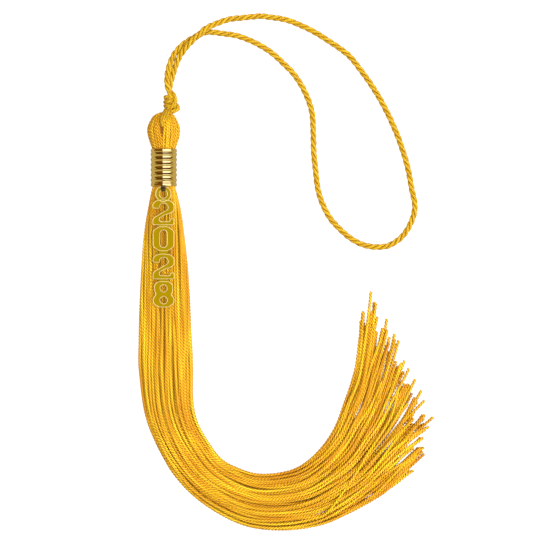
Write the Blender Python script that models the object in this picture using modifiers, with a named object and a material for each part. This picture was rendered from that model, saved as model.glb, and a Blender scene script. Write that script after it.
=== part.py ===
# Graduation tassel, laid flat on a surface: +Z is up, +Y runs along the ferrule towards the knot, and the
# origin lies on the surface, in the middle of the tassel's box without its hanging loop.

import math
from collections import namedtuple

import bmesh
import bpy
import numpy as np
from mathutils import Matrix, Vector

# Lengths below are in millimetres and are turned into metres where a mesh is made.
MM = 0.001
GAP = 0.3

# The straight axis that the head, the neck and the ferrule share
AXIS_X = -45.1
AXIS_Z = 5.0

# Ferrule
FERRULE_TOP = 60.1
FERRULE_LENGTH = 13.85
FERRULE_BORE_RADIUS = 4.45
FERRULE_RIB_RADIUS = 4.95
FERRULE_VALLEY_RADIUS = 4.6
FERRULE_LIP_RADIUS = 4.85
FERRULE_LIP = 1.4
FERRULE_RIBS = 6
FERRULE_STEPS = 28

# Head, neck and root of the yarn
NECK_RADIUS = 4.1
YARN_RIDGES = 20
RIDGE_HEIGHT = 0.2
SLIT_WIDTH = 0.6
SLIT_LENGTH = 4.2
SLIT_DEPTH = 1.2

# Strands of the skirt: rows from the bottom up, and how many strands lie in each
ROW_COUNTS = (13, 13, 12, 10, 6)
STRAND_SECTIONS = 20
STRAIGHT_SPARSENESS = 0.8
STRAND_START = 8.9
STRAY_STRAND = (0, 3)
STRAY_REACH = 210.7
WIDEST_STRAND = 1.3
TALLEST_STRAND = 0.95
STRAND_FILL = 0.72
ROW_FILL = 0.76
WANDER_SHARE = 0.35
TIP_SCATTER = 5.0
SEED = 28

# Cord
CORD_RADIUS = 1.15
CORD_VALLEY_RADIUS = 0.9
CORD_PLIES = 3
CORD_LAY = 8.1
CORD_REST_HEIGHT = CORD_RADIUS + 0.05
PAIR_HALF_SPACING = 1.22

# Knot
KNOT_X = -42.7
KNOT_Z = 2.95
WRAP_THICKNESS = 1.1

# Charm
CHARM_THICKNESS = 1.0
RING_THICKNESS = 1.1
BRIDGE_THICKNESS = 0.8
CHARM_TILT = math.radians(3.7)
HINGE_Y = 45.5
HINGE_Z = 10.45
RING_OUTER_RADIUS = 2.92
RING_HOLE_RADIUS = 1.4
BRIDGE_HALF_WIDTH = 1.7
BRIDGE_OVERLAP = 0.35

# Black thread that holds the charm's ring
THREAD_WIDTH = 1.4
THREAD_INNER_RADIUS = 1.1
THREAD_THICKNESS = 0.4
THREAD_START = math.radians(-8.0)
THREAD_END = math.radians(220.0)

# The skirt, station by station along its length. Outer and inner are the edges of the J that it lies in,
# height is the heap's thickness, and crown says how much narrower the top row is than the bottom one.
Station = namedtuple("Station", "outer_x outer_y inner_x inner_y height crown")
SKIRT = (
    Station(-49.5, 45.7, -40.7, 45.7, 9.2, 0.92),
    Station(-50.5, 41.3, -39.6, 41.3, 8.9, 0.91),
    Station(-51.7, 35.3, -38.4, 35.3, 8.4, 0.90),
    Station(-52.8, 26.5, -37.3, 26.5, 7.8, 0.86),
    Station(-53.6, 15.4, -36.1, 15.4, 7.2, 0.82),
    Station(-54.2, 4.3, -35.2, 4.3, 6.8, 0.78),
    Station(-54.6, -10.5, -34.5, -10.5, 6.4, 0.76),
    Station(-54.6, -21.6, -34.3, -21.6, 6.2, 0.76),
    Station(-52.8, -36.4, -34.2, -33.5, 6.1, 0.76),
    Station(-49.3, -47.0, -32.3, -41.6, 6.1, 0.76),
    Station(-43.6, -57.9, -28.4, -48.3, 6.1, 0.76),
    Station(-35.1, -67.9, -23.6, -54.6, 6.1, 0.76),
    Station(-24.3, -75.5, -17.7, -57.9, 6.0, 0.76),
    Station(-13.2, -80.1, -11.0, -60.0, 5.9, 0.74),
    Station(-0.3, -81.2, -3.6, -59.8, 5.8, 0.72),
    Station(12.7, -79.4, 4.9, -57.4, 5.5, 0.68),
    Station(23.8, -74.9, 12.3, -51.2, 5.2, 0.62),
    Station(33.4, -69.7, 17.9, -43.1, 4.8, 0.55),
    Station(40.4, -64.9, 21.9, -32.7, 4.4, 0.50),
    Station(46.7, -60.1, 24.9, -23.5, 4.0, 0.45),
    Station(53.0, -56.8, 26.7, -11.3, 3.7, 0.42),
    Station(59.3, -53.8, 27.8, 0.9, 3.4, 0.40),
    Station(65.2, -50.9, 28.6, 12.4, 3.2, 0.40),
)

# Where the strands end, by their share of the way from the outer edge to the inner one
TipReach = namedtuple("TipReach", "share reach")
TIPS = (
    TipReach(0.00, 193.0),
    TipReach(0.06, 199.5),
    TipReach(0.15, 203.0),
    TipReach(0.25, 209.0),
    TipReach(0.40, 210.5),
    TipReach(0.60, 213.0),
    TipReach(0.78, 214.0),
    TipReach(0.90, 213.5),
    TipReach(1.00, 208.0),
)

# The solid yarn, section by section: the head, the neck in the ferrule and the root of the strands.
# A section is round above its centre. Below it the sink is flattened on the surface, and square above 2
# fills out the lower corners.
Section = namedtuple("Section", "y half_width centre_z rise sink square ridged")
YARN = (
    Section(73.7, 0.8, 5.0, 0.7, 0.7, 2.0, 0.0),
    Section(73.2, 2.4, 5.0, 2.1, 2.1, 2.0, 0.3),
    Section(72.6, 3.4, 5.0, 3.0, 3.0, 2.0, 0.6),
    Section(71.7, 4.4, 5.0, 3.9, 3.9, 2.0, 1.0),
    Section(69.9, 5.4, 5.0, 4.9, 4.9, 2.0, 1.0),
    Section(68.3, 6.0, 5.0, 5.3, 5.5, 2.0, 1.0),
    Section(66.6, 6.2, 5.0, 5.4, 5.7, 2.0, 1.0),
    Section(64.6, 5.9, 5.0, 5.3, 5.6, 2.0, 1.0),
    Section(62.7, 5.3, 5.0, 4.9, 5.2, 2.0, 1.0),
    Section(61.2, 4.8, 5.0, 4.6, 4.8, 2.0, 0.8),
    Section(FERRULE_TOP + 0.4, 4.5, 5.0, 4.4, 4.4, 2.0, 0.5),
    Section(FERRULE_TOP + 0.3, NECK_RADIUS, AXIS_Z, NECK_RADIUS, NECK_RADIUS, 2.0, 0.0),
    Section(46.0, NECK_RADIUS, AXIS_Z, NECK_RADIUS, NECK_RADIUS, 2.0, 0.0),
    Section(45.8, 4.3, 5.0, 4.2, 4.6, 2.2, 0.5),
    Section(41.3, 5.45, 4.0, 4.9, 4.5, 3.0, 1.0),
    Section(38.2, 6.1, 3.3, 5.3, 3.9, 3.6, 1.0),
    Section(35.3, 6.65, 2.6, 5.8, 3.2, 4.0, 1.0),
)

# The doubled stretch of cord from the knot to where it opens: the middle of the two legs, and the
# angle of the first leg about that middle, in degrees from the side.
PairPoint = namedtuple("PairPoint", "x y turn")
PAIR = (
    PairPoint(-43.1, 81.3, -90.0),
    PairPoint(-43.4, 84.2, -62.0),
    PairPoint(-42.9, 87.6, -32.0),
    PairPoint(-42.0, 91.2, -8.0),
    PairPoint(-40.4, 94.8, 12.0),
    PairPoint(-37.9, 98.0, 38.0),
    PairPoint(-34.9, 100.6, 64.0),
    PairPoint(-31.9, 102.7, 92.0),
    PairPoint(-29.0, 104.3, 135.0),
)

# The open loop, from the end of the first leg round to the start of the second
LoopPoint = namedtuple("LoopPoint", "x y")
LOOP = (
    LoopPoint(-24.6, 107.2),
    LoopPoint(-20.6, 108.4),
    LoopPoint(-16.9, 108.8),
    LoopPoint(-13.2, 109.2),
    LoopPoint(-9.2, 109.5),
    LoopPoint(-5.8, 109.1),
    LoopPoint(-2.1, 108.6),
    LoopPoint(1.6, 107.7),
    LoopPoint(5.3, 106.2),
    LoopPoint(9.0, 104.5),
    LoopPoint(12.7, 102.4),
    LoopPoint(16.4, 100.0),
    LoopPoint(20.1, 97.5),
    LoopPoint(23.8, 94.5),
    LoopPoint(27.5, 89.9),
    LoopPoint(31.2, 84.8),
    LoopPoint(34.9, 78.9),
    LoopPoint(38.6, 71.8),
    LoopPoint(42.2, 63.2),
    LoopPoint(45.1, 53.9),
    LoopPoint(46.7, 45.6),
    LoopPoint(47.9, 38.7),
    LoopPoint(46.4, 32.8),
    LoopPoint(43.1, 27.7),
    LoopPoint(38.6, 24.6),
    LoopPoint(34.9, 23.9),
    LoopPoint(31.2, 24.1),
    LoopPoint(27.5, 25.2),
    LoopPoint(23.8, 27.3),
    LoopPoint(20.0, 30.6),
    LoopPoint(16.6, 34.4),
    LoopPoint(13.9, 39.3),
    LoopPoint(12.0, 45.1),
    LoopPoint(11.1, 52.0),
    LoopPoint(10.4, 59.3),
    LoopPoint(10.2, 66.9),
    LoopPoint(9.6, 74.4),
    LoopPoint(7.0, 81.6),
    LoopPoint(3.3, 87.6),
    LoopPoint(-0.4, 91.5),
    LoopPoint(-4.1, 95.0),
    LoopPoint(-8.0, 97.8),
    LoopPoint(-12.6, 100.2),
    LoopPoint(-17.6, 102.1),
    LoopPoint(-22.4, 102.9),
)

# The stretch of cord from the knot into the slit of the head
TiePoint = namedtuple("TiePoint", "x y z")
TIE = (
    TiePoint(-43.9, 73.6, 7.0),
    TiePoint(-44.2, 72.5, 8.6),
    TiePoint(-44.7, 71.1, 9.8),
    TiePoint(-45.3, 69.4, 10.3),
    TiePoint(-45.6, 68.1, 9.7),
    TiePoint(-45.7, 67.4, 8.4),
)

# Wraps of the knot: where each ring of cord lies along the knot, how it leans and how wide it is
Wrap = namedtuple("Wrap", "x y lean radius")
WRAPS = (
    Wrap(-0.3, 79.0, 34.0, 1.6),
    Wrap(0.1, 77.35, 28.0, 1.8),
    Wrap(0.4, 75.8, 28.0, 1.75),
)

# Outlines of the plain block numerals, in millimetres from the middle of the numeral's foot
NUMERAL_TWO = (
    (-3.95, 0.0), (3.95, 0.0), (3.95, 2.45), (2.4, 2.45), (2.1, 1.3), (-1.1, 1.3), (3.1, 4.6),
    (3.95, 5.9), (3.95, 7.8), (2.3, 9.1), (0.0, 9.5), (-2.3, 9.1), (-3.95, 7.8), (-3.95, 6.3),
    (-1.5, 6.35), (-1.4, 7.1), (-0.5, 7.9), (0.7, 7.75), (1.45, 6.95), (1.3, 5.75), (-3.95, 2.6),
)
NUMERAL_NOUGHT = (
    (-1.6, 0.0), (1.6, 0.0), (3.95, 1.6), (3.95, 7.5), (1.6, 9.1), (-1.6, 9.1), (-3.95, 7.5), (-3.95, 1.6),
)
NOUGHT_COUNTER = (1.6, 1.25, 7.85)
NUMERAL_EIGHT = (
    (-1.8, 0.0), (1.8, 0.0), (3.95, 1.5), (3.95, 3.4), (2.8, 4.75), (3.45, 5.9), (3.45, 8.4),
    (1.9, 9.7), (-1.9, 9.7), (-3.45, 8.4), (-3.45, 5.9), (-2.8, 4.75), (-3.95, 3.4), (-3.95, 1.5),
)
EIGHT_COUNTERS = ((1.6, 1.05, 4.25), (1.6, 5.45, 8.65))

# The numerals from the ring down: outline, counters and the foot's distance below the ring's centre
Numeral = namedtuple("Numeral", "outline counters foot height")
NUMERALS = (
    Numeral(NUMERAL_TWO, (), 11.5, 9.5),
    Numeral(NUMERAL_NOUGHT, (NOUGHT_COUNTER,), 21.05, 9.1),
    Numeral(NUMERAL_TWO, (), 31.45, 9.5),
    Numeral(NUMERAL_EIGHT, EIGHT_COUNTERS, 41.85, 9.7),
)


def clear_scene():
    for obj in list(bpy.data.objects):
        bpy.data.objects.remove(obj)


def new_collection(name, hidden=False):
    collection = bpy.data.collections.new(name)
    bpy.context.scene.collection.children.link(collection)
    collection.hide_render = hidden
    return collection


def new_material(name, colour, roughness, metallic=0.0):
    material = bpy.data.materials.new(name)
    material.use_nodes = True
    shader = material.node_tree.nodes["Principled BSDF"]
    shader.inputs["Base Color"].default_value = (*colour, 1.0)
    shader.inputs["Roughness"].default_value = roughness
    shader.inputs["Metallic"].default_value = metallic
    return material


def new_object(name, mesh, material, collection):
    obj = bpy.data.objects.new(name, mesh)
    collection.objects.link(obj)
    if material is not None:
        mesh.materials.append(material)
    return obj


def hide_helper(obj):
    obj.hide_render = True
    obj.display_type = "WIRE"


def smooth_path(rows, places):
    """Points of the Catmull-Rom curve through the rows, at places given in steps from row to row."""
    rows = np.asarray(rows, float)
    places = np.clip(places, 0.0, len(rows) - 1.0)
    index = np.minimum(places.astype(int), len(rows) - 2)
    step = (places - index)[:, None]
    before = rows[np.maximum(index - 1, 0)]
    start = rows[index]
    end = rows[index + 1]
    after = rows[np.minimum(index + 2, len(rows) - 1)]
    return 0.5 * (
        2 * start
        + (end - before) * step
        + (2 * before - 5 * start + 4 * end - after) * step**2
        + (3 * start - before - 3 * end + after) * step**3
    )


def evenly_spaced(rows, count):
    """That many points at equal distances along the smooth curve through the rows."""
    fine = smooth_path(rows, np.linspace(0, len(rows) - 1, 40 * len(rows)))
    along = np.concatenate([[0], np.cumsum(np.linalg.norm(np.diff(fine, axis=0), axis=1))])
    wanted = np.linspace(0, along[-1], count)
    return np.stack([np.interp(wanted, along, fine[:, axis]) for axis in range(3)], axis=1)


def length_of(points):
    return float(np.linalg.norm(np.diff(points, axis=0), axis=1).sum())


def loft(rings):
    """Vertices and faces of the closed skin over a row of rings with the same number of points."""
    count, sides, _ = rings.shape
    faces = []
    for ring in range(count - 1):
        for side in range(sides):
            after = (side + 1) % sides
            low, high = ring * sides, (ring + 1) * sides
            faces.append((low + side, low + after, high + after, high + side))
    faces.append(tuple(reversed(range(sides))))
    faces.append(tuple(range((count - 1) * sides, count * sides)))
    return rings.reshape(-1, 3), faces


def mesh_from(name, skins):
    """One mesh from several closed skins in millimetres, with its faces turned outwards."""
    mesh = bpy.data.meshes.new(name)
    shape = bmesh.new()
    for vertices, faces in skins:
        corners = [shape.verts.new(Vector(vertex) * MM) for vertex in vertices]
        for face in faces:
            shape.faces.new([corners[index] for index in face])
    bmesh.ops.recalc_face_normals(shape, faces=shape.faces)
    shape.to_mesh(mesh)
    shape.free()
    return mesh


def add_boolean(obj, other, operation):
    modifier = obj.modifiers.new(f"{operation.title()} {other.name}", "BOOLEAN")
    modifier.operation = operation
    modifier.solver = "EXACT"
    modifier.object = other


def ring_frames(points):
    """A level side direction and an upward one at each point of a path, both square to the path."""
    along = np.gradient(points, axis=0)
    along /= np.linalg.norm(along, axis=1)[:, None]
    side = np.cross(along, [0.0, 0.0, 1.0])
    side /= np.linalg.norm(side, axis=1)[:, None]
    return side, np.cross(side, along)


def round_tube(points, radius, sides):
    side, up = ring_frames(points)
    angles = np.arange(sides) * 2 * math.pi / sides
    rings = (
        points[:, None]
        + radius * np.cos(angles)[None, :, None] * side[:, None]
        + radius * np.sin(angles)[None, :, None] * up[:, None]
    )
    return loft(rings)


def twisted_tube(points):
    """A cord whose plies wind round it: its section has a lobe for each ply, and turns along its length."""
    side, up = ring_frames(points)
    along = np.concatenate([[0], np.cumsum(np.linalg.norm(np.diff(points, axis=0), axis=1))])
    sides = 2 * CORD_PLIES
    corner = np.arange(sides)
    radius = np.where(corner % 2 == 0, CORD_RADIUS, CORD_VALLEY_RADIUS)
    angles = corner * 2 * math.pi / sides + (along * 2 * math.pi / CORD_LAY)[:, None]
    rings = (
        points[:, None]
        + (radius * np.cos(angles))[:, :, None] * side[:, None]
        + (radius * np.sin(angles))[:, :, None] * up[:, None]
    )
    return loft(rings)


def skirt_reach():
    """How far each station of the skirt lies from the ferrule, along the middle of the skirt."""
    edges = np.array([row[:4] for row in SKIRT])
    middle = (edges[:, :2] + edges[:, 2:]) / 2
    return np.concatenate([[0], np.cumsum(np.linalg.norm(np.diff(middle, axis=0), axis=1))])


def strand_skin(row, column, columns, wander):
    """One strand: its share of the skirt's width, its row in the heap, and how it wanders and ends."""
    height_share = row / (len(ROW_COUNTS) - 1)
    share = column / (columns - 1)
    tips = np.array(TIPS)
    end_share = 0.5 + (share - 0.5) * math.sqrt(1 - (SKIRT[-1].crown * height_share) ** 2)
    reach_end = np.interp(end_share, tips[:, 0], tips[:, 1]) - wander.uniform(0.0, TIP_SCATTER)
    if (row, column) == STRAY_STRAND:
        reach_end = STRAY_REACH
    # The sections lie closer together in the bend and the fan than in the straight part.
    progress = np.linspace(0.0, 1.0, STRAND_SECTIONS) ** STRAIGHT_SPARSENESS
    reach = STRAND_START + (reach_end - STRAND_START) * progress
    station = np.interp(reach, skirt_reach(), np.arange(len(SKIRT)))
    outer_x, outer_y, inner_x, inner_y, height, crown = smooth_path(SKIRT, station).T
    outer = np.stack([outer_x, outer_y], axis=1)
    inner = np.stack([inner_x, inner_y], axis=1)
    width = np.linalg.norm(inner - outer, axis=1)
    across = (inner - outer) / width[:, None]
    strand_width = np.minimum(WIDEST_STRAND, STRAND_FILL * width / max(ROW_COUNTS))
    strand_height = np.minimum(TALLEST_STRAND, ROW_FILL * height / len(ROW_COUNTS))
    span = width * np.sqrt(1 - (crown * height_share) ** 2) - strand_width
    slack = span / (columns - 1) - strand_width
    waves = wander.uniform(1.5, 3.5)
    sway = np.sin(waves * math.pi * reach / reach_end + wander.uniform(0.0, 2 * math.pi))
    # The sway fades at the skirt's edges and at the root, so that the outline and the root stay clean.
    fade = np.clip((reach - STRAND_START) / 30.0, 0.0, 1.0) * (0.0 if share in (0.0, 1.0) else 1.0)
    place = width / 2 + (share - 0.5) * span + WANDER_SHARE * slack * sway * fade
    middle = outer + across * place[:, None]
    level = strand_height / 2 + height_share * (height - strand_height)
    points = np.column_stack([middle, level])
    side, _ = ring_frames(np.column_stack([middle, np.zeros(len(middle))]))
    half_side = side * (strand_width / 2)[:, None]
    half_up = np.array([0.0, 0.0, 1.0]) * (strand_height / 2)[:, None]
    corners = ((1, 1), (-1, 1), (-1, -1), (1, -1))
    rings = np.stack([points + a * half_side + b * half_up for a, b in corners], axis=1)
    return loft(rings)


def yarn_section(row):
    """One ring of the solid yarn, flattened where it meets the surface and ridged by the yarn on it."""
    sides = 2 * YARN_RIDGES
    angles = np.arange(sides) * 2 * math.pi / sides
    ridge = np.where(np.arange(sides) % 2 == 0, 1.0, -1.0) * row.ridged * RIDGE_HEIGHT / 2
    power = np.where(np.sin(angles) < 0, 2.0 / row.square, 1.0)
    reach_x = np.sign(np.cos(angles)) * np.abs(np.cos(angles)) ** power
    reach_z = np.sign(np.sin(angles)) * np.abs(np.sin(angles)) ** power
    x = AXIS_X + (row.half_width + ridge) * reach_x
    z = row.centre_z + (np.where(np.sin(angles) < 0, row.sink, row.rise) + ridge) * reach_z
    return np.column_stack([x, np.full(sides, row.y), np.maximum(z, 0.0)])


def tie_path():
    return evenly_spaced(TIE, 12)


def make_yarn(collection, cutters, material):
    rings = np.array([yarn_section(row) for row in YARN])
    yarn = new_object("yarn_tassel", mesh_from("yarn_tassel", [loft(rings)]), material, collection)

    wander = np.random.default_rng(SEED)
    skins = []
    for row, columns in enumerate(ROW_COUNTS):
        for column in range(columns):
            skins.append(strand_skin(row, column, columns, wander))
    strands = new_object("strands", mesh_from("strands", skins), None, cutters)
    hide_helper(strands)
    add_boolean(yarn, strands, "UNION")

    path = tie_path()
    before = path[0] + 2.0 * (path[0] - path[1])
    beyond = path[-1] + 0.3 * (path[-1] - path[-2])
    channel = round_tube(np.vstack([before, path, beyond]), CORD_RADIUS + GAP, 12)
    groove = new_object("tie_groove", mesh_from("tie_groove", [channel]), None, cutters)
    hide_helper(groove)
    add_boolean(yarn, groove, "DIFFERENCE")

    bpy.ops.mesh.primitive_cube_add(size=1.0)
    slit = bpy.context.object
    slit.name = "slit"
    slit.scale = (SLIT_WIDTH * MM, SLIT_LENGTH * MM, SLIT_DEPTH * 2 * MM)
    slit.location = Vector((TIE[-1].x, TIE[-1].y - SLIT_LENGTH / 2, 10.4)) * MM
    for old in list(slit.users_collection):
        old.objects.unlink(slit)
    cutters.objects.link(slit)
    hide_helper(slit)
    add_boolean(yarn, slit, "DIFFERENCE")


def ferrule_profile():
    """Radius and distance below the top of the ferrule's outside, then of its bore, as one closed outline."""
    pitch = (FERRULE_LENGTH - 2 * FERRULE_LIP) / FERRULE_RIBS
    outline = [(FERRULE_LIP_RADIUS - 0.15, 0.0)]
    outline.append((FERRULE_LIP_RADIUS, 0.3))
    outline.append((FERRULE_LIP_RADIUS, FERRULE_LIP - 0.2))
    for rib in range(FERRULE_RIBS):
        start = FERRULE_LIP + rib * pitch
        outline.append((FERRULE_VALLEY_RADIUS, start))
        outline.append((FERRULE_RIB_RADIUS, start + 0.3 * pitch))
        outline.append((FERRULE_RIB_RADIUS, start + 0.7 * pitch))
    foot = FERRULE_LENGTH - FERRULE_LIP
    outline.append((FERRULE_VALLEY_RADIUS, foot))
    outline.append((FERRULE_LIP_RADIUS, foot + 0.2))
    outline.append((FERRULE_LIP_RADIUS, FERRULE_LENGTH - 0.2))
    outline.append((FERRULE_LIP_RADIUS - 0.1, FERRULE_LENGTH))
    outline.append((FERRULE_BORE_RADIUS, FERRULE_LENGTH))
    outline.append((FERRULE_BORE_RADIUS, 0.0))
    return outline


def make_ferrule(collection, material):
    outline = ferrule_profile()
    vertices = [(radius * MM, 0.0, -below * MM) for radius, below in outline]
    edges = [(index, (index + 1) % len(outline)) for index in range(len(outline))]
    mesh = bpy.data.meshes.new("ferrule")
    mesh.from_pydata(vertices, edges, [])
    ferrule = new_object("ferrule", mesh, material, collection)
    ferrule.location = Vector((AXIS_X, FERRULE_TOP, AXIS_Z)) * MM
    ferrule.rotation_euler = (math.radians(-90.0), 0.0, 0.0)
    screw = ferrule.modifiers.new("Turn", "SCREW")
    screw.angle = 2 * math.pi
    screw.steps = FERRULE_STEPS
    screw.render_steps = FERRULE_STEPS
    screw.use_merge_vertices = True
    screw.merge_threshold = 0.0001 * MM
    screw.use_smooth_shade = True


def pair_legs():
    """Both legs of the doubled cord, wound about the middle line, each resting no lower than the surface."""
    middle = np.array([(row.x, row.y, 0.0) for row in PAIR])
    turn = np.radians([row.turn for row in PAIR])
    side, _ = ring_frames(middle)
    middle[:, 2] = CORD_REST_HEIGHT + PAIR_HALF_SPACING * np.abs(np.sin(turn))
    offset = PAIR_HALF_SPACING * (np.cos(turn)[:, None] * side + np.sin(turn)[:, None] * [0.0, 0.0, 1.0])
    return middle + offset, middle - offset


def loop_route():
    first, second = pair_legs()
    around = np.array([(row.x, row.y, CORD_REST_HEIGHT) for row in LOOP])
    return np.vstack([first, around, second[::-1]])


def make_hanging_loop(collection, material):
    route = loop_route()
    rings = round(length_of(smooth_path(route, np.linspace(0, len(route) - 1, 4000))) / (CORD_LAY / 6)) + 1
    points = evenly_spaced(route, rings)
    new_object("hanging_loop", mesh_from("hanging_loop", [twisted_tube(points)]), material, collection)
    print(f"hanging loop: {length_of(points):.1f} mm of cord")


def make_knot(collection, cutters, material):
    bpy.ops.mesh.primitive_uv_sphere_add(segments=16, ring_count=10, radius=1.0)
    core = bpy.context.object
    core.name = "cord_knot"
    core.data.name = "cord_knot"
    core.data.transform(Matrix.Diagonal((2.0 * MM, 3.3 * MM, 2.1 * MM, 1.0)))
    core.location = Vector((KNOT_X, 77.6, KNOT_Z)) * MM
    core.data.materials.append(material)
    for old in list(core.users_collection):
        old.objects.unlink(core)
    collection.objects.link(core)
    for number, wrap in enumerate(WRAPS, start=1):
        bpy.ops.mesh.primitive_torus_add(
            major_radius=wrap.radius * MM,
            minor_radius=WRAP_THICKNESS * MM,
            major_segments=18,
            minor_segments=8,
            location=Vector((KNOT_X + wrap.x, wrap.y, KNOT_Z)) * MM,
            rotation=(math.radians(90.0), 0.0, math.radians(wrap.lean)),
        )
        ring = bpy.context.object
        ring.name = f"knot_wrap_{number}"
        for old in list(ring.users_collection):
            old.objects.unlink(ring)
        cutters.objects.link(ring)
        hide_helper(ring)
        add_boolean(core, ring, "UNION")


def make_head_tie(collection, material):
    tube = mesh_from("head_tie", [round_tube(tie_path(), CORD_RADIUS, 8)])
    new_object("head_tie", tube, material, collection)


def flat_piece(name, outlines, thickness, collection):
    """A mesh with these outlines, holes after the edge, extruded about its own plane."""
    curve = bpy.data.curves.new(name, "CURVE")
    curve.dimensions = "2D"
    curve.fill_mode = "BOTH"
    curve.extrude = thickness / 2 * MM
    for outline in outlines:
        spline = curve.splines.new("POLY")
        spline.points.add(len(outline) - 1)
        for point, (x, y) in zip(spline.points, outline):
            point.co = (x * MM, y * MM, 0.0, 1.0)
        spline.use_cyclic_u = True
    flat = bpy.data.objects.new(name, curve)
    collection.objects.link(flat)
    bpy.context.view_layer.update()
    evaluated = flat.evaluated_get(bpy.context.evaluated_depsgraph_get())
    mesh = bpy.data.meshes.new_from_object(evaluated)
    shape = bmesh.new()
    shape.from_mesh(mesh)
    bmesh.ops.remove_doubles(shape, verts=shape.verts, dist=0.001 * MM)
    bmesh.ops.recalc_face_normals(shape, faces=shape.faces)
    shape.to_mesh(mesh)
    shape.free()
    bpy.data.objects.remove(flat)
    bpy.data.curves.remove(curve)
    solid = bpy.data.objects.new(name, mesh)
    collection.objects.link(solid)
    return solid


def arc(centre_x, centre_y, radius, start, end, steps):
    angles = np.linspace(start, end, steps)
    return [(centre_x + radius * math.cos(a), centre_y + radius * math.sin(a)) for a in angles]


def counter_outline(half_width, low, high):
    """The slot with round ends inside a nought or an eight."""
    top = arc(0.0, high - half_width, half_width, 0.0, math.pi, 9)
    bottom = arc(0.0, low + half_width, half_width, math.pi, 2 * math.pi, 9)
    if math.isclose(high - low, 2 * half_width):
        return top[:-1] + bottom[:-1]
    return top + bottom


def make_charm(collection, cutters, material):
    ring_y = -(RING_OUTER_RADIUS + RING_HOLE_RADIUS) / 2
    ring_edge = arc(0.0, ring_y, RING_OUTER_RADIUS, 0.0, 2 * math.pi, 29)[:-1]
    ring_hole = arc(0.0, ring_y, RING_HOLE_RADIUS, 0.0, 2 * math.pi, 21)[:-1]
    charm = flat_piece("year_charm", [ring_edge, ring_hole], RING_THICKNESS, collection)
    charm.data.materials.append(material)
    for number, numeral in enumerate(NUMERALS, start=1):
        foot = ring_y - numeral.foot
        outlines = [[(x, foot + y) for x, y in numeral.outline]]
        for half_width, low, high in numeral.counters:
            outlines.append(counter_outline(half_width, foot + low, foot + high))
        digit = flat_piece(f"numeral_{number}", outlines, CHARM_THICKNESS, cutters)
        hide_helper(digit)
        add_boolean(charm, digit, "UNION")
        digit.parent = charm
        if number > 1:
            bar_foot = foot + numeral.height - BRIDGE_OVERLAP
            bar_top = above + BRIDGE_OVERLAP
            half = BRIDGE_HALF_WIDTH
            bar = [(-half, bar_foot), (half, bar_foot), (half, bar_top), (-half, bar_top)]
            bridge = flat_piece(f"bridge_{number}", [bar], BRIDGE_THICKNESS, cutters)
            hide_helper(bridge)
            add_boolean(charm, bridge, "UNION")
            bridge.parent = charm
        above = foot
    charm.location = Vector((AXIS_X, HINGE_Y, HINGE_Z)) * MM
    charm.rotation_euler = (CHARM_TILT, 0.0, 0.0)


def make_charm_thread(collection, material):
    outer = arc(0.0, 0.0, THREAD_INNER_RADIUS + THREAD_THICKNESS, THREAD_START, THREAD_END, 15)
    inner = arc(0.0, 0.0, THREAD_INNER_RADIUS, THREAD_END, THREAD_START, 15)
    thread = flat_piece("charm_thread", [outer + inner], THREAD_WIDTH, collection)
    thread.data.materials.append(material)
    # The strap's own X and Y become the part's Y and Z, so that it arches over the charm's ring.
    thread.matrix_world = Matrix.Translation(Vector((AXIS_X, HINGE_Y, HINGE_Z)) * MM) @ Matrix(
        ((0, 0, 1, 0), (1, 0, 0, 0), (0, 1, 0, 0), (0, 0, 0, 1))
    )


def main():
    clear_scene()
    tassel = new_collection("graduation_tassel")
    cutters = new_collection("cutters")
    yarn = new_material("Golden yarn", (0.80, 0.42, 0.02), 0.6)
    cord = new_material("Golden cord", (0.82, 0.45, 0.02), 0.5)
    gold = new_material("Polished gold", (0.90, 0.68, 0.28), 0.15, 1.0)
    cast_gold = new_material("Cast gold", (0.55, 0.40, 0.06), 0.35, 1.0)
    black = new_material("Black thread", (0.02, 0.01, 0.03), 0.7)
    make_yarn(tassel, cutters, yarn)
    make_ferrule(tassel, gold)
    make_hanging_loop(tassel, cord)
    make_knot(tassel, cutters, cord)
    make_head_tie(tassel, cord)
    make_charm(tassel, cutters, cast_gold)
    make_charm_thread(tassel, black)


main()
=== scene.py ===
# Graduation tassel lying on a white table: its yarn, its cord, its sleeve and its charm.
# Lengths are in millimetres until a mesh is made.

import bmesh
import bpy
import numpy as np
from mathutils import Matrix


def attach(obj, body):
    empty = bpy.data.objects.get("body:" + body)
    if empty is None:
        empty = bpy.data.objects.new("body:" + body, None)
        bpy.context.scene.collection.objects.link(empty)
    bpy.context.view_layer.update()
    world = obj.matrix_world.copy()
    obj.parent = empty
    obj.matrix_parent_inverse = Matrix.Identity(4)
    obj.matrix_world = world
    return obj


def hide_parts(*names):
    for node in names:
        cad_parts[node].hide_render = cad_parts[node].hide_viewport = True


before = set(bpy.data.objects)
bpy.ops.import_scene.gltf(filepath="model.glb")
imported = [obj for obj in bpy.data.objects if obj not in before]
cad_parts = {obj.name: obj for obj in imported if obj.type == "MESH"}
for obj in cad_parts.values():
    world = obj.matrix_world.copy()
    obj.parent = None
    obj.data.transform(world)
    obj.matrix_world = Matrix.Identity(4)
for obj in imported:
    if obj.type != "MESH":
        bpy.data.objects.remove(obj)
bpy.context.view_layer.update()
scene = bpy.context.scene
mm = 0.001
turn = 2 * np.pi
sideways = np.array([1.0, 0.0, 0.0])
lengthwise = np.array([0.0, 1.0, 0.0])
upwards = np.array([0.0, 0.0, 1.0])

# Camera and light

view = {
    "centre": (-4.0, 13.5),  # the point of the table in the middle of the picture
    "width": 203.5,  # what the picture's width takes in
    "height": 1200.0,  # how far up the camera stands
    "aim": 4.0,  # the height at which the width is taken
    "sensor": 36.0,
    "nearest": 50.0,  # what is nearer to the camera isn't seen
}

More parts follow.
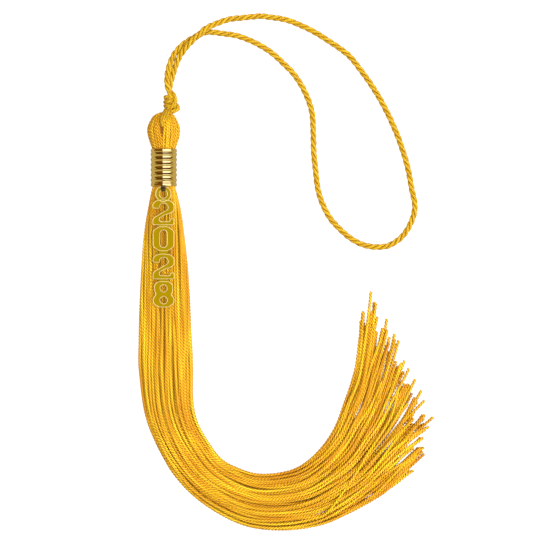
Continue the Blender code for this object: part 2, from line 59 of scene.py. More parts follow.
studio = {
    "table": 2400.0,
    "tableSeen": 0.25,  # how white the table is to the camera, apart from its glow
    "tableGlow": 0.96,  # lifts it to a clean white, as on a light table
    "tableBounce": 0.80,  # how much soft light it gives back to cloth
    "tableGloss": (0.45, 0.43, 0.30),  # its colour in polished metal, warmed by the yarn
    "overhead": (-8.0, 66.0),  # from where to where the softbox reaches, in degrees right of straight up
    "lengthwise": (-30.0, 30.0),  # and in degrees towards the head of the tassel
    "edge": 3.0,  # half the width of the softbox's soft edge
    "softbox": (5.12, 5.02, 4.8),
    "softboxGloss": (1.50, 1.55, 2.7),  # what polished metal shows of it, cool so that gold reflects it as white
    "left": (0.20, 0.095, 0.02),  # brown dark on the left of the softbox
    "leftSoft": (0.90, 0.72, 0.44),  # what cloth gets from there
    "right": (0.55, 0.50, 0.42),  # the room on its right
    "near": (0.52, 0.46, 0.34),  # the lit room on the photographer's side
    "far": (0.10, 0.045, 0.006),  # the brown dark on the far side
    "farSoft": (0.60, 0.48, 0.30),  # what cloth gets from there
}


def makeCamera():
    # focal length = sensor width x distance / width seen at that distance
    camera = bpy.data.objects.new("camera", bpy.data.cameras.new("camera"))
    scene.collection.objects.link(camera)
    camera.data.sensor_width = view["sensor"]
    camera.data.lens = view["sensor"] * (view["height"] - view["aim"]) / view["width"]
    camera.data.clip_start = view["nearest"] * mm
    camera.location = (view["centre"][0] * mm, view["centre"][1] * mm, view["height"] * mm)
    scene.camera = camera


def setInputs(tree, node, inputs):
    # each socket takes a link from another socket, or a value
    for name, value in inputs.items():
        if isinstance(value, bpy.types.NodeSocket):
            tree.links.new(value, node.inputs[name])
        else:
            node.inputs[name].default_value = value


def addNode(tree, kind, inputs=None, **settings):
    # a node with its settings, then with what goes into its sockets
    node = tree.nodes.new(kind)
    for name, value in settings.items():
        setattr(node, name, value)
    setInputs(tree, node, inputs or {})
    return node


def calc(tree, operation, first, second=0.0, third=0.0):
    # one step of arithmetic on up to three values
    return addNode(tree, "ShaderNodeMath", {0: first, 1: second, 2: third}, operation=operation).outputs[0]


def mixColours(tree, share, before, after):
    # colour before at share 0, colour after at share 1
    node = addNode(tree, "ShaderNodeMix", data_type="RGBA")
    tree.links.new(share, node.inputs["Factor"])
    for name, value in (("A", before), ("B", after)):
        socket = [s for s in node.inputs if s.name == name and s.type == "RGBA"][0]
        if isinstance(value, tuple):
            socket.default_value = (*value, 1.0)
        else:
            tree.links.new(value, socket)
    return [s for s in node.outputs if s.type == "RGBA"][0]


def makeStudio():
    # sky = dark, softbox or room by the angle across the tassel, then near or far room by the angle along it
    world = bpy.data.worlds.new("studio")
    world.use_nodes = True
    scene.world = world
    tree = world.node_tree
    tree.nodes.clear()
    place = addNode(tree, "ShaderNodeTexCoord").outputs["Generated"]
    parts = addNode(tree, "ShaderNodeSeparateXYZ", {0: place}).outputs
    across = calc(tree, "ARCTAN2", parts["X"], parts["Z"])
    along = calc(tree, "ARCTAN2", parts["Y"], parts["Z"])

    def past(angle, degrees):
        # 0 before the angle, 1 past it, smooth over the soft edge
        low, high = np.radians(degrees - studio["edge"]), np.radians(degrees + studio["edge"])
        inputs = {"Value": angle, "From Min": float(low), "From Max": float(high)}
        return addNode(tree, "ShaderNodeMapRange", inputs, interpolation_type="SMOOTHSTEP").outputs["Result"]

    rays = addNode(tree, "ShaderNodeLightPath").outputs
    left = mixColours(tree, rays["Is Diffuse Ray"], studio["left"], studio["leftSoft"])
    softbox = mixColours(tree, rays["Is Diffuse Ray"], studio["softboxGloss"], studio["softbox"])
    colour = mixColours(tree, past(across, studio["overhead"][0]), left, softbox)
    colour = mixColours(tree, past(across, studio["overhead"][1]), colour, studio["right"])
    colour = mixColours(tree, past(along, studio["lengthwise"][0]), studio["near"], colour)
    far = mixColours(tree, rays["Is Diffuse Ray"], studio["far"], studio["farSoft"])
    colour = mixColours(tree, past(along, studio["lengthwise"][1]), colour, far)
    lit = addNode(tree, "ShaderNodeBackground", {"Color": colour, "Strength": 1.0})
    seen = addNode(tree, "ShaderNodeBackground", {"Color": (1.0, 1.0, 1.0, 1.0), "Strength": 1.0})
    both = addNode(tree, "ShaderNodeMixShader", {0: rays["Is Camera Ray"], 1: lit.outputs[0], 2: seen.outputs[0]})
    addNode(tree, "ShaderNodeOutputWorld", {"Surface": both.outputs[0]})

    half = studio["table"] / 2 * mm
    corners = [(-half, -half, 0), (half, -half, 0), (half, half, 0), (-half, half, 0)]
    mesh = bpy.data.meshes.new("table")
    mesh.from_pydata(corners, [], [(0, 1, 2, 3)])
    table = bpy.data.objects.new("table", mesh)
    scene.collection.objects.link(table)
    mesh.materials.append(makeTableMaterial())
    scene.view_settings.view_transform = "Standard"
    print("camera's table and studio light")


def makeTableMaterial():
    # white to the camera, mostly by its glow; pale grey to cloth; a darker, warmer grey to polished metal
    material = bpy.data.materials.new("white table")
    material.use_nodes = True
    tree = material.node_tree
    tree.nodes.clear()
    rays = addNode(tree, "ShaderNodeLightPath").outputs

    def matt(colour):
        # a surface that scatters light evenly
        return addNode(tree, "ShaderNodeBsdfDiffuse", {"Color": (*colour, 1.0)}).outputs[0]

    dim, pale = matt(studio["tableGloss"]), matt([studio["tableBounce"]] * 3)
    grey = addNode(tree, "ShaderNodeMixShader", {0: rays["Is Diffuse Ray"], 1: dim, 2: pale})
    glow = addNode(tree, "ShaderNodeEmission", {"Strength": studio["tableGlow"]})
    bright = addNode(tree, "ShaderNodeAddShader", {0: matt([studio["tableSeen"]] * 3), 1: glow.outputs[0]})
    both = addNode(tree, "ShaderNodeMixShader", {0: rays["Is Camera Ray"], 1: grey.outputs[0], 2: bright.outputs[0]})
    addNode(tree, "ShaderNodeOutputMaterial", {"Surface": both.outputs[0]})
    return material


# Paths, tubes and meshes

tube = {
    "end": 0.4,  # how far the point that closes a tube stands out of it, in radii
    "fineness": 40,  # steps to a row while a path is evened out
}


def smoothRows(rows, places):
    # between two rows, the cubic whose slopes at its ends follow the rows on both sides
    rows = np.asarray(rows, float)
    last = len(rows) - 1
    places = np.clip(places, 0, last)
    index = np.minimum(places.astype(int), last - 1)
    t = (places - index)[..., None]
    before, start = rows[np.maximum(index - 1, 0)], rows[index]
    end, after = rows[index + 1], rows[np.minimum(index + 2, last)]
    curve = 2 * start + (end - before) * t
    curve += (2 * before - 5 * start + 4 * end - after) * t**2
    curve += (3 * start - before - 3 * end + after) * t**3
    return curve / 2


def lengthAlong(paths):
    # distance from the path's start to each of its points, added up point by point
    steps = np.linalg.norm(np.diff(paths, axis=-2), axis=-1)
    return np.concatenate([np.zeros_like(steps[..., :1]), np.cumsum(steps, axis=-1)], axis=-1)


def evenPath(rows, count):
    # points at equal distances along the smooth curve through the rows
    fine = smoothRows(rows, np.linspace(0, len(rows) - 1, tube["fineness"] * len(rows)))
    along = lengthAlong(fine)
    wanted = np.linspace(0, along[-1], count)
    return np.stack([np.interp(wanted, along, fine[:, k]) for k in range(3)], axis=1)


def directions(paths, aside=None):
    # forward = the path's slope; side = forward x up, or the given direction made square to forward
    forward = np.gradient(paths, axis=-2)
    forward /= np.linalg.norm(forward, axis=-1, keepdims=True)
    if aside is None:
        side = np.cross(forward, upwards)
    else:
        side = aside - forward * np.sum(aside * forward, axis=-1, keepdims=True)
    side /= np.linalg.norm(side, axis=-1, keepdims=True)
    return forward, side, np.cross(side, forward)


def sweep(paths, radii, outline, spin, aside=None):
    # ring point = path + radius x outline radius x (cos of its angle sideways + sin of it upwards),
    # where each ring is turned by spin; both ends close on a point that stands out a little
    count, rings, _ = paths.shape
    corners = len(outline)
    forward, side, up = directions(paths, aside)
    angles = np.arange(corners) * turn / corners + spin[..., None]
    reach = radii[..., None] * outline
    points = paths[:, :, None] + (reach * np.cos(angles))[..., None] * side[:, :, None]
    points += (reach * np.sin(angles))[..., None] * up[:, :, None]
    starts = paths[:, 0] - forward[:, 0] * radii[:, :1] * tube["end"]
    ends = paths[:, -1] + forward[:, -1] * radii[:, -1:] * tube["end"]
    vertices = np.concatenate([points.reshape(count, -1, 3), starts[:, None], ends[:, None]], axis=1)

    # a tube's vertices are its rings, then the points at its start and its end
    block = rings * corners + 2
    first = (np.arange(count) * block)[:, None, None]
    ring = (np.arange(rings - 1) * corners)[None, :, None]
    here = np.arange(corners)[None, None, :]
    after = (here + 1) % corners
    low, high = first + ring + here, first + ring + after
    quads = np.stack([low, low + corners, high + corners, high], axis=-1)
    last = first + block - 2 - corners
    capStart = np.stack([first + block - 2 + 0 * here, first + here, first + after], axis=-1)
    capEnd = np.stack([first + block - 1 + 0 * here, last + after, last + here], axis=-1)
    faces = (quads.reshape(-1, 4), np.concatenate([capStart.reshape(-1, 3), capEnd.reshape(-1, 3)]))

    # place on the surface = share of the way round, distance along
    along = lengthAlong(paths)
    nearer, farther = along[:, :-1, None] + 0 * here, along[:, 1:, None] + 0 * here
    left = here / corners + 0 * nearer
    right = left + 1 / corners
    round4 = np.stack([left, left, right, right], axis=-1)
    along4 = np.stack([nearer, farther, farther, nearer], axis=-1)
    uvStart = np.zeros((count, corners, 3, 2))
    uvEnd = uvStart + along[:, -1][:, None, None, None] * np.array([0.0, 1.0])
    uvs = [np.stack([round4, along4], axis=-1), uvStart, uvEnd]
    return vertices.reshape(-1, 3), faces, np.concatenate([uv.reshape(-1, 2) for uv in uvs])


def pileUp(parts):
    # several sets of vertices, faces and places on the surface as one, with the face numbers moved on
    starts = np.cumsum([0] + [len(points) for points, _, _ in parts])
    quads = np.concatenate([faces[0] + start for (_, faces, _), start in zip(parts, starts)])
    triangles = np.concatenate([faces[1] + start for (_, faces, _), start in zip(parts, starts)])
    vertices = np.concatenate([points for points, _, _ in parts])
    if parts[0][2] is None:
        return vertices, (quads, triangles), None
    ofQuads = [uvs[: 4 * len(faces[0])] for _, faces, uvs in parts]
    ofTriangles = [uvs[4 * len(faces[0]) :] for _, faces, uvs in parts]
    return vertices, (quads, triangles), np.concatenate(ofQuads + ofTriangles)


def makePiece(name, parts, material, body, node, values=()):
    # the mesh, its finish, the body that it rides on and the node that it stands for
    vertices, (quads, triangles), uvs = parts
    mesh = bpy.data.meshes.new(name)
    mesh.from_pydata((vertices * mm).tolist(), [], quads.tolist() + triangles.tolist())
    if uvs is not None:
        mesh.uv_layers.new(name="alongYarn").data.foreach_set("uv", uvs.ravel().astype(np.float32))
    for label, column in dict(values).items():
        mesh.attributes.new(label, "FLOAT", "POINT").data.foreach_set("value", column.astype(np.float32))
    mesh.shade_smooth()
    mesh.materials.append(material)
    piece = bpy.data.objects.new(name, mesh)
    scene.collection.objects.link(piece)
    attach(piece, body)
    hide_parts(node)
    return piece


# Finishes, with painted shade and a painted highlight

yarnFinishAndShade = {
    "lobe": (0.98, 0.78, 0.026),
    # painted shade in the furrows between the three plies
    "furrow": (0.42, 0.145, 0.001),
    "deep": (1.0, 0.43, 0.004),  # painted shade: the colour of the flanks and of the yarns that lie underneath, at tone 0
    "plies": 3.0,  # how many furrows there are round the yarn
    "toneSpread": 0.38,  # how much brighter tone 1 is than tone 0
    "filaments": 9.0,  # round the yarn
    "slant": 0.9,  # how many of them pass in a millimetre along it
    "bump": 0.25,
    "roughness": 0.55,
    "sheen": 0.25,
}

# the head's yarn: the same yarn, given a darker lobe colour and a darker deep shade colour
headFinishAndShade = {**yarnFinishAndShade, "lobe": (0.88, 0.72, 0.024), "deep": (0.90, 0.40, 0.004)}

cordFinishAndShade = {
    "lobe": (0.68, 0.46, 0.015),
    # painted shade on the inner side of each ply, where the plies press together
    "furrow": (0.22, 0.060, 0.001),
    # mixed in by a low tone: the plies' own differences, and painted shade on the knot's hidden inside
    "deep": (0.54, 0.28, 0.004),
    "plies": 1.0,
    "toneSpread": 0.12,
    "filaments": 11.0,
    "slant": -0.7,
    "bump": 0.3,
    "roughness": 0.45,
    "sheen": 0.15,
}

# what yarn and cord have in common
fibre = {
    "relief": 0.06,  # height of the filaments
    "specular": 0.2,
    "sheenRoughness": 0.4,
    "sheenTint": (1.0, 0.85, 0.3, 1.0),
    "furrowFrom": 0.55,  # cosines of the place round a ply between which its colour turns into the furrow's
    "furrowTo": -0.75,
    "streak": 0.3,  # how much streaks change the brightness
    "streakStretch": 9.0,
    "streakScale": 0.8,
}

goldFinish = {
    "colours": ((0.90, 0.63, 0.15), (0.95, 0.73, 0.21)),
    "stops": (0.2, 0.55),  # shares of the grain at which the first colour ends and the second starts
    "grain": 900.0,
    "roughness": (0.042, 0.112),
}

charmFinishAndHighlight = {
    "colours": ((0.53, 0.345, 0.0012), (0.98, 0.84, 0.28)),  # on the face, and on the rim: polished plating, made pale as a painted highlight
    "stops": (0.3, 0.7),
    "roughness": (0.42, 0.45),
    "metallic": (1.0, 0.2),  # the rim is made mostly diffuse, so that its painted highlight stays pale from every side
    "grain": 1400.0,
    "bump": 0.25,
    "relief": 0.03,
}

threadFinishAndShade = {
    "colours": ((0.006, 0.003, 0.009), (0.022, 0.012, 0.026)),  # painted shade between the filaments, and the thread's own black on them
    "filaments": 4.0,
    "slant": 1.5,
    "relief": 0.05,
    "roughness": 0.85,
    "specular": 0.2,
}


def newGroup(name, inputs, outputs):
    # an empty node group with these sockets
    group = bpy.data.node_groups.new(name, "ShaderNodeTree")
    for label, kind in inputs:
        group.interface.new_socket(name=label, in_out="INPUT", socket_type=kind)
    for label, kind in outputs:
        group.interface.new_socket(name=label, in_out="OUTPUT", socket_type=kind)
    given = group.nodes.new("NodeGroupInput").outputs
    result = group.nodes.new("NodeGroupOutput").inputs
    return group, given, result


def makeFilaments():
    # height = 1/2 + 1/2 sin(turn x (around x count + along x slant)); streak = noise stretched along the yarn
    numbers = "NodeSocketFloat"
    group, given, result = newGroup(
        "filaments", [("Count", numbers), ("Slant", numbers)], [("Height", numbers), ("Streak", numbers)]
    )
    place = addNode(group, "ShaderNodeUVMap", uv_map="alongYarn").outputs[0]
    parts = addNode(group, "ShaderNodeSeparateXYZ", {0: place}).outputs
    phase = calc(group, "MULTIPLY", parts["X"], given["Count"])
    phase = calc(group, "ADD", phase, calc(group, "MULTIPLY", parts["Y"], given["Slant"]))
    wave = calc(group, "SINE", calc(group, "MULTIPLY", phase, turn))
    height = calc(group, "MULTIPLY_ADD", wave, 0.5, 0.5)
    around = calc(group, "MULTIPLY", parts["X"], fibre["streakStretch"])
    stretched = addNode(group, "ShaderNodeCombineXYZ", {0: around, 1: parts["Y"]}).outputs[0]
    inputs = {"Vector": stretched, "Scale": fibre["streakScale"], "Detail": 3.0}
    noise = addNode(group, "ShaderNodeTexNoise", inputs)
    group.links.new(height, result["Height"])
    group.links.new(noise.outputs["Fac"], result["Streak"])
    return group


def makePlyShade():
    # painted shade: depth = 1/2 - 1/2 cos(turn x around x plies) with softer ends, 0 on a ply and 1 in a furrow;
    # ply = deep shade colour to lobe by the yarn's tone and shade; colour = ply to the furrow's painted shade
    # by depth x (1 - furrow shade fade), times 1 + spread x (tone and shade - 1/2) + streak
    colour, numbers = "NodeSocketColor", "NodeSocketFloat"
    sockets = [("Lobe", colour), ("Deep", colour), ("Furrow", colour)]
    sockets += [("Plies", numbers), ("Spread", numbers), ("Streak", numbers)]
    group, given, result = newGroup("plyShade", sockets, [("Colour", colour)])
    place = addNode(group, "ShaderNodeUVMap", uv_map="alongYarn").outputs[0]
    around = addNode(group, "ShaderNodeSeparateXYZ", {0: place}).outputs["X"]
    wave = calc(group, "COSINE", calc(group, "MULTIPLY", calc(group, "MULTIPLY", around, turn), given["Plies"]))
    inputs = {"Value": wave, "From Min": fibre["furrowFrom"], "From Max": fibre["furrowTo"]}
    depth = addNode(group, "ShaderNodeMapRange", inputs, interpolation_type="SMOOTHSTEP").outputs["Result"]
    furrowShadeFade = addNode(group, "ShaderNodeAttribute", attribute_name="furrowShadeFade").outputs["Fac"]
    depth = calc(group, "MULTIPLY", depth, calc(group, "SUBTRACT", 1.0, furrowShadeFade))
    toneAndShade = addNode(group, "ShaderNodeAttribute", attribute_name="toneAndShade").outputs["Fac"]
    blend = mixColours(group, depth, mixColours(group, toneAndShade, given["Deep"], given["Lobe"]), given["Furrow"])
    change = calc(group, "MULTIPLY", calc(group, "SUBTRACT", toneAndShade, 0.5), given["Spread"])
    streak = calc(group, "MULTIPLY", calc(group, "SUBTRACT", given["Streak"], 0.5), fibre["streak"])
    bright = calc(group, "ADD", 1.0, calc(group, "ADD", change, streak))
    scaled = addNode(group, "ShaderNodeVectorMath", {0: blend}, operation="SCALE")
    group.links.new(bright, scaled.inputs["Scale"])
    group.links.new(scaled.outputs[0], result["Colour"])
    return group


def newMaterial(name):
    # a material with its node tree and its shader
    material = bpy.data.materials.new(name)
    material.use_nodes = True
    return material, material.node_tree, material.node_tree.nodes["Principled BSDF"]


def colourRamp(tree, share, colours, stops=(0.0, 1.0)):
    # the first colour up to the first stop, the second colour from the second stop on
    ramp = addNode(tree, "ShaderNodeValToRGB", {"Fac": share})
    for element, colour, stop in zip(ramp.color_ramp.elements, colours, stops):
        element.color = (*colour, 1.0)
        element.position = stop
    return ramp.outputs["Color"]


def fromTo(tree, share, ends):
    # first end at share 0, second end at share 1
    low, high = ends
    return addNode(tree, "ShaderNodeMapRange", {"Value": share, "To Min": low, "To Max": high}).outputs["Result"]


def fineGrain(tree, scale, detail):
    # noise over the whole piece, so many specks to a metre
    place = addNode(tree, "ShaderNodeTexCoord").outputs["Object"]
    return addNode(tree, "ShaderNodeTexNoise", {"Vector": place, "Scale": scale, "Detail": detail}).outputs["Fac"]


def makeYarnMaterial(name, finishAndShade, filaments, plyShade):
    # plies with painted shade in their furrows and on their flanks, filaments as a fine bump, and a little silky sheen
    material, tree, shader = newMaterial(name)
    inputs = {"Count": finishAndShade["filaments"], "Slant": finishAndShade["slant"]}
    threads = addNode(tree, "ShaderNodeGroup", inputs, node_tree=filaments).outputs
    inputs = {part.title(): (*finishAndShade[part], 1.0) for part in ("lobe", "deep", "furrow")}
    inputs |= {"Plies": finishAndShade["plies"], "Spread": finishAndShade["toneSpread"], "Streak": threads["Streak"]}
    shade = addNode(tree, "ShaderNodeGroup", inputs, node_tree=plyShade)
    inputs = {"Height": threads["Height"], "Strength": finishAndShade["bump"], "Distance": fibre["relief"] * mm}
    bump = addNode(tree, "ShaderNodeBump", inputs)
    setInputs(tree, shader, {
        "Base Color": shade.outputs["Colour"],
        "Normal": bump.outputs[0],
        "Roughness": finishAndShade["roughness"],
        "Specular IOR Level": fibre["specular"],
        "Sheen Weight": finishAndShade["sheen"],
        "Sheen Roughness": fibre["sheenRoughness"],
        "Sheen Tint": fibre["sheenTint"],
    })
    return material


def makeGoldMaterial():
    # polished gold whose colour and roughness change a little with a fine grain
    material, tree, shader = newMaterial("polished gold")
    grain = fineGrain(tree, goldFinish["grain"], 3.0)
    setInputs(tree, shader, {
        "Base Color": colourRamp(tree, grain, goldFinish["colours"], goldFinish["stops"]),
        "Roughness": fromTo(tree, grain, goldFinish["roughness"]),
        "Metallic": 1.0,
    })
    return material


def makeCharmMaterial():
    # antique olive gold on the face; on the raised rim, polished pale gold whose brightness is a painted highlight
    material, tree, shader = newMaterial("cast gold")
    rim = addNode(tree, "ShaderNodeAttribute", attribute_name="rim").outputs["Fac"]
    inputs = {"Height": fineGrain(tree, charmFinishAndHighlight["grain"], 4.0)}
    inputs |= {"Strength": charmFinishAndHighlight["bump"], "Distance": charmFinishAndHighlight["relief"] * mm}
    setInputs(tree, shader, {
        "Base Color": colourRamp(tree, rim, charmFinishAndHighlight["colours"], charmFinishAndHighlight["stops"]),
        "Roughness": fromTo(tree, rim, charmFinishAndHighlight["roughness"]),
        "Metallic": fromTo(tree, rim, charmFinishAndHighlight["metallic"]),
        "Normal": addNode(tree, "ShaderNodeBump", inputs).outputs[0],
    })
    return material


def makeThreadMaterial(filaments):
    # black thread whose twist shows as painted shade between its filaments and as a fine bump
    material, tree, shader = newMaterial("black thread")
    inputs = {"Count": threadFinishAndShade["filaments"], "Slant": threadFinishAndShade["slant"]}
    height = addNode(tree, "ShaderNodeGroup", inputs, node_tree=filaments).outputs["Height"]
    bump = addNode(tree, "ShaderNodeBump", {"Height": height, "Distance": threadFinishAndShade["relief"] * mm})
    setInputs(tree, shader, {
        "Base Color": colourRamp(tree, height, threadFinishAndShade["colours"]),
        "Normal": bump.outputs[0],
        "Roughness": threadFinishAndShade["roughness"],
        "Specular IOR Level": threadFinishAndShade["specular"],
    })
    return material


# Hanging loop

hangingLoop = {
    "radius": 1.15,
    "plyOffset": 0.60,
    "plyRadius": 0.56,
    "lay": 7.9,  # the length of one whole turn of the plies
    "sides": 10,  # of each ply
    "points": 1000,
    "restHeight": 1.2,
    "legSpacing": 1.12,  # half the distance between the two legs where they are wound together
    # middle of the two legs, x and y, and the first leg's angle about it in degrees
    "pair": (
        (-43.1, 81.3, -90), (-43.4, 84.2, -62), (-42.9, 87.6, -32), (-42.0, 91.2, -8), (-40.4, 94.8, 12),
        (-37.9, 98.0, 38), (-34.9, 100.6, 64), (-31.9, 102.7, 92), (-29.0, 104.3, 135),
    ),
    "open": (
        (-24.6, 107.2), (-20.6, 108.4), (-16.9, 108.8), (-13.2, 109.2), (-9.2, 109.5), (-5.8, 109.1),
        (-2.1, 108.6), (1.6, 107.7), (5.3, 106.2), (9.0, 104.5), (12.7, 102.4), (16.4, 100.0), (20.1, 97.5),
        (23.8, 94.5), (27.5, 89.9), (31.2, 84.8), (34.9, 78.9), (38.6, 71.8), (42.2, 63.2), (45.1, 53.9),
        (46.7, 45.6), (47.9, 38.7), (46.4, 32.8), (43.1, 27.7), (38.6, 24.6), (34.9, 23.9), (31.2, 24.1),
        (27.5, 25.2), (23.8, 27.3), (20.0, 30.6), (16.6, 34.4), (13.9, 39.3), (12.0, 45.1), (11.1, 52.0),
        (10.4, 59.3), (10.2, 66.9), (9.6, 74.4), (7.0, 81.6), (3.3, 87.6), (-0.4, 91.5), (-4.1, 95.0),
        (-8.0, 97.8), (-12.6, 100.2), (-17.6, 102.1), (-22.4, 102.9),
    ),
}

plyTones = (0.35, 0.5, 0.65)


def plied(path, cord, aside=None, shrink=1.0):
    # ply centre = cord centre + offset turned about it, one turn in each lay, three plies a third of a turn apart
    _, side, up = directions(path, aside)
    shrink = np.ones(len(path)) * shrink
    phase = lengthAlong(path) * turn / cord["lay"] + (np.arange(3) * turn / 3)[:, None]
    size = (cord["plyOffset"] * shrink)[None, :, None]
    centres = path[None] + size * (np.cos(phase)[..., None] * side + np.sin(phase)[..., None] * up)
    radii = np.broadcast_to(cord["plyRadius"] * shrink, phase.shape)
    parts = sweep(centres, radii, np.ones(cord["sides"]), phase, side)
    return parts, np.repeat(plyTones, len(path) * cord["sides"] + 2)


def loopPath():
    # leg = middle +- spacing x (cos of its angle sideways + sin of it upwards), then the open loop, then back
    rows = np.array(hangingLoop["pair"], float)
    middle = np.column_stack([rows[:, :2], np.zeros(len(rows))])
    angle = np.radians(rows[:, 2:])
    _, side, _ = directions(middle)
    spacing = hangingLoop["legSpacing"]
    middle[:, 2] = hangingLoop["restHeight"] + spacing * np.abs(np.sin(angle[:, 0]))
    offset = spacing * (np.cos(angle) * side + np.sin(angle) * upwards)
    around = np.array(hangingLoop["open"], float)
    around = np.column_stack([around, np.full(len(around), hangingLoop["restHeight"])])
    return np.vstack([middle + offset, around, (middle - offset)[::-1]])


def makeHangingLoop(material):
    # three plies along points at equal distances on the loop's way
    path = evenPath(loopPath(), hangingLoop["points"])
    parts, toneAndShade = plied(path, hangingLoop)
    piece = makePiece("hangingLoopCord", parts, material, "tassel", "hanging_loop", {"toneAndShade": toneAndShade})
    print(f"hanging loop: {lengthAlong(path)[-1]:.0f} mm of three-ply cord")


# Knot and the stretch into the head

knot = {
    "plyOffset": 0.42,
    "plyRadius": 0.48,
    "lay": 6.5,
    "sides": 8,
    "wrapPoints": 120,
    "bendPoints": 70,
    "lap": 0.06,  # how far a wrap goes on past both ends of its full turn
    "tuck": 0.45,  # how much smaller the ring is at its two tips
    "tuckFrom": 0.9,  # where it starts to get smaller: 0 is half way round and 1 a full turn's end
    # each wrap round the knot: middle x, y and z, ring radius, and how far it climbs from left to right
    "wraps": (
        (-43.15, 79.4, 2.8, 1.40, 0.20),
        (-42.95, 77.7, 2.8, 1.62, 0.10),
        (-42.90, 76.0, 2.8, 1.60, -0.15),
    ),
    # stretches of cord that lie over the wraps
    "bends": (
        ((-43.4, 82.9, 1.9), (-43.35, 81.9, 2.9), (-43.15, 80.8, 4.1), (-42.9, 79.7, 4.5), (-42.5, 78.6, 4.0),
         (-42.0, 77.8, 2.8)),
        (
            (-43.4, 81.1, 1.6), (-42.1, 80.9, 2.9), (-41.2, 79.5, 4.2), (-40.95, 77.9, 4.8), (-41.4, 76.6, 5.1),
            (-42.5, 75.4, 5.0), (-43.8, 74.75, 4.0), (-44.3, 75.1, 2.6),
        ),
        (
            (-41.7, 77.0, 1.8), (-40.4, 76.3, 2.4), (-39.95, 75.3, 3.2), (-40.9, 74.35, 4.1), (-42.4, 73.95, 4.3),
            (-43.5, 74.2, 3.0),
        ),
    ),
    "core": (-42.4, 77.0, 2.9),  # middle of the hidden inside
    "coreSize": (1.9, 3.3),  # its radius and its half length
    # low tone on the inside: painted shade in the gaps between the wraps
    "coreTone": 0.2,
    "coreShade": 0.29,  # its place round a ply, on the way to the furrows' painted shade
}

headTie = {
    "plyOffset": 0.24,
    "plyRadius": 0.32,
    "lay": 3.4,
    "sides": 8,
    "points": 70,
    "tipSize": 0.70,
    "legs": (
        ((-44.6, 74.8, 3.6), (-44.95, 73.6, 7.2), (-45.5, 72.2, 9.3), (-45.9, 70.9, 10.4), (-45.85, 69.8, 10.9),
         (-45.65, 68.7, 10.5)),
        ((-43.9, 74.8, 3.8), (-44.15, 73.6, 7.6), (-44.65, 72.2, 9.7), (-45.1, 70.9, 10.7), (-45.35, 69.6, 11.1),
         (-45.55, 68.2, 10.6)),
        ((-43.2, 74.8, 3.6), (-43.35, 73.6, 7.2), (-43.8, 72.2, 9.4), (-44.3, 70.9, 10.5), (-44.85, 69.8, 10.9),
         (-45.35, 68.7, 10.5)),
    ),
}


def ellipsoid(middle, radius, half, around=24, rings=12, pole=0.08):
    # point = middle + (radius cos a sin b, half length cos b, radius sin a sin b), b from pole to pole
    b = np.linspace(pole, np.pi - pole, rings)
    path = np.array(middle) + (half * np.cos(b))[:, None] * lengthwise
    return sweep(path[None], (radius * np.sin(b))[None], np.ones(around), np.zeros((1, rings)), sideways)


def makeKnot(material):
    # wrap = ring about the knot's length whose height along it follows its cosine; its ends tuck inwards
    t = np.linspace(-knot["lap"], 1 + knot["lap"], knot["wrapPoints"])
    past = np.abs(2 * t - 1) - knot["tuckFrom"]
    tuck = 1 - knot["tuck"] * np.clip(past, 0, 1) / past.max()
    a = t * turn - np.pi / 2
    plies = []
    for x, y, z, radius, climb in knot["wraps"]:
        ring = radius * tuck
        path = np.column_stack([x + ring * np.cos(a), y + climb * np.cos(a), z + ring * np.sin(a)])
        plies.append(plied(path, knot, lengthwise))
    plies += [plied(evenPath(bend, knot["bendPoints"]), knot) for bend in knot["bends"]]
    # the hidden inside, coloured darker as painted shade between the wraps
    vertices, faces, uvs = ellipsoid(knot["core"], *knot["coreSize"])
    core = (vertices, faces, np.full(uvs.shape, knot["coreShade"]))
    plies.append((core, np.full(len(vertices), knot["coreTone"])))
    parts, tones = zip(*plies)
    values = {"toneAndShade": np.concatenate(tones)}
    makePiece("knotCord", pileUp(parts), material, "tassel", "cord_knot", values)
    print(f"knot: {len(knot['wraps'])} wraps of cord and {len(knot['bends'])} bends over them")


def makeHeadTie(material):
    # legs of cord whose size falls evenly towards the slit
    shrink = np.linspace(1.0, headTie["tipSize"], headTie["points"])
    plies = [plied(evenPath(leg, headTie["points"]), headTie, sideways, shrink) for leg in headTie["legs"]]
    parts, tones = zip(*plies)
    values = {"toneAndShade": np.concatenate(tones)}
    makePiece("headTieCord", pileUp(parts), material, "tassel", "head_tie", values)
    print("cord from the knot into the head")


# Yarn

yarn = {
    "outline": (1.0, 0.76) * 3,  # radii round one yarn: three plies and the furrows between them
    "lay": 3.6,
    # painted shade by facing: a corner's tone is scaled by base + rise x the sine of its angle
    "facingBase": 0.35,
    "facingRise": 0.85,
}

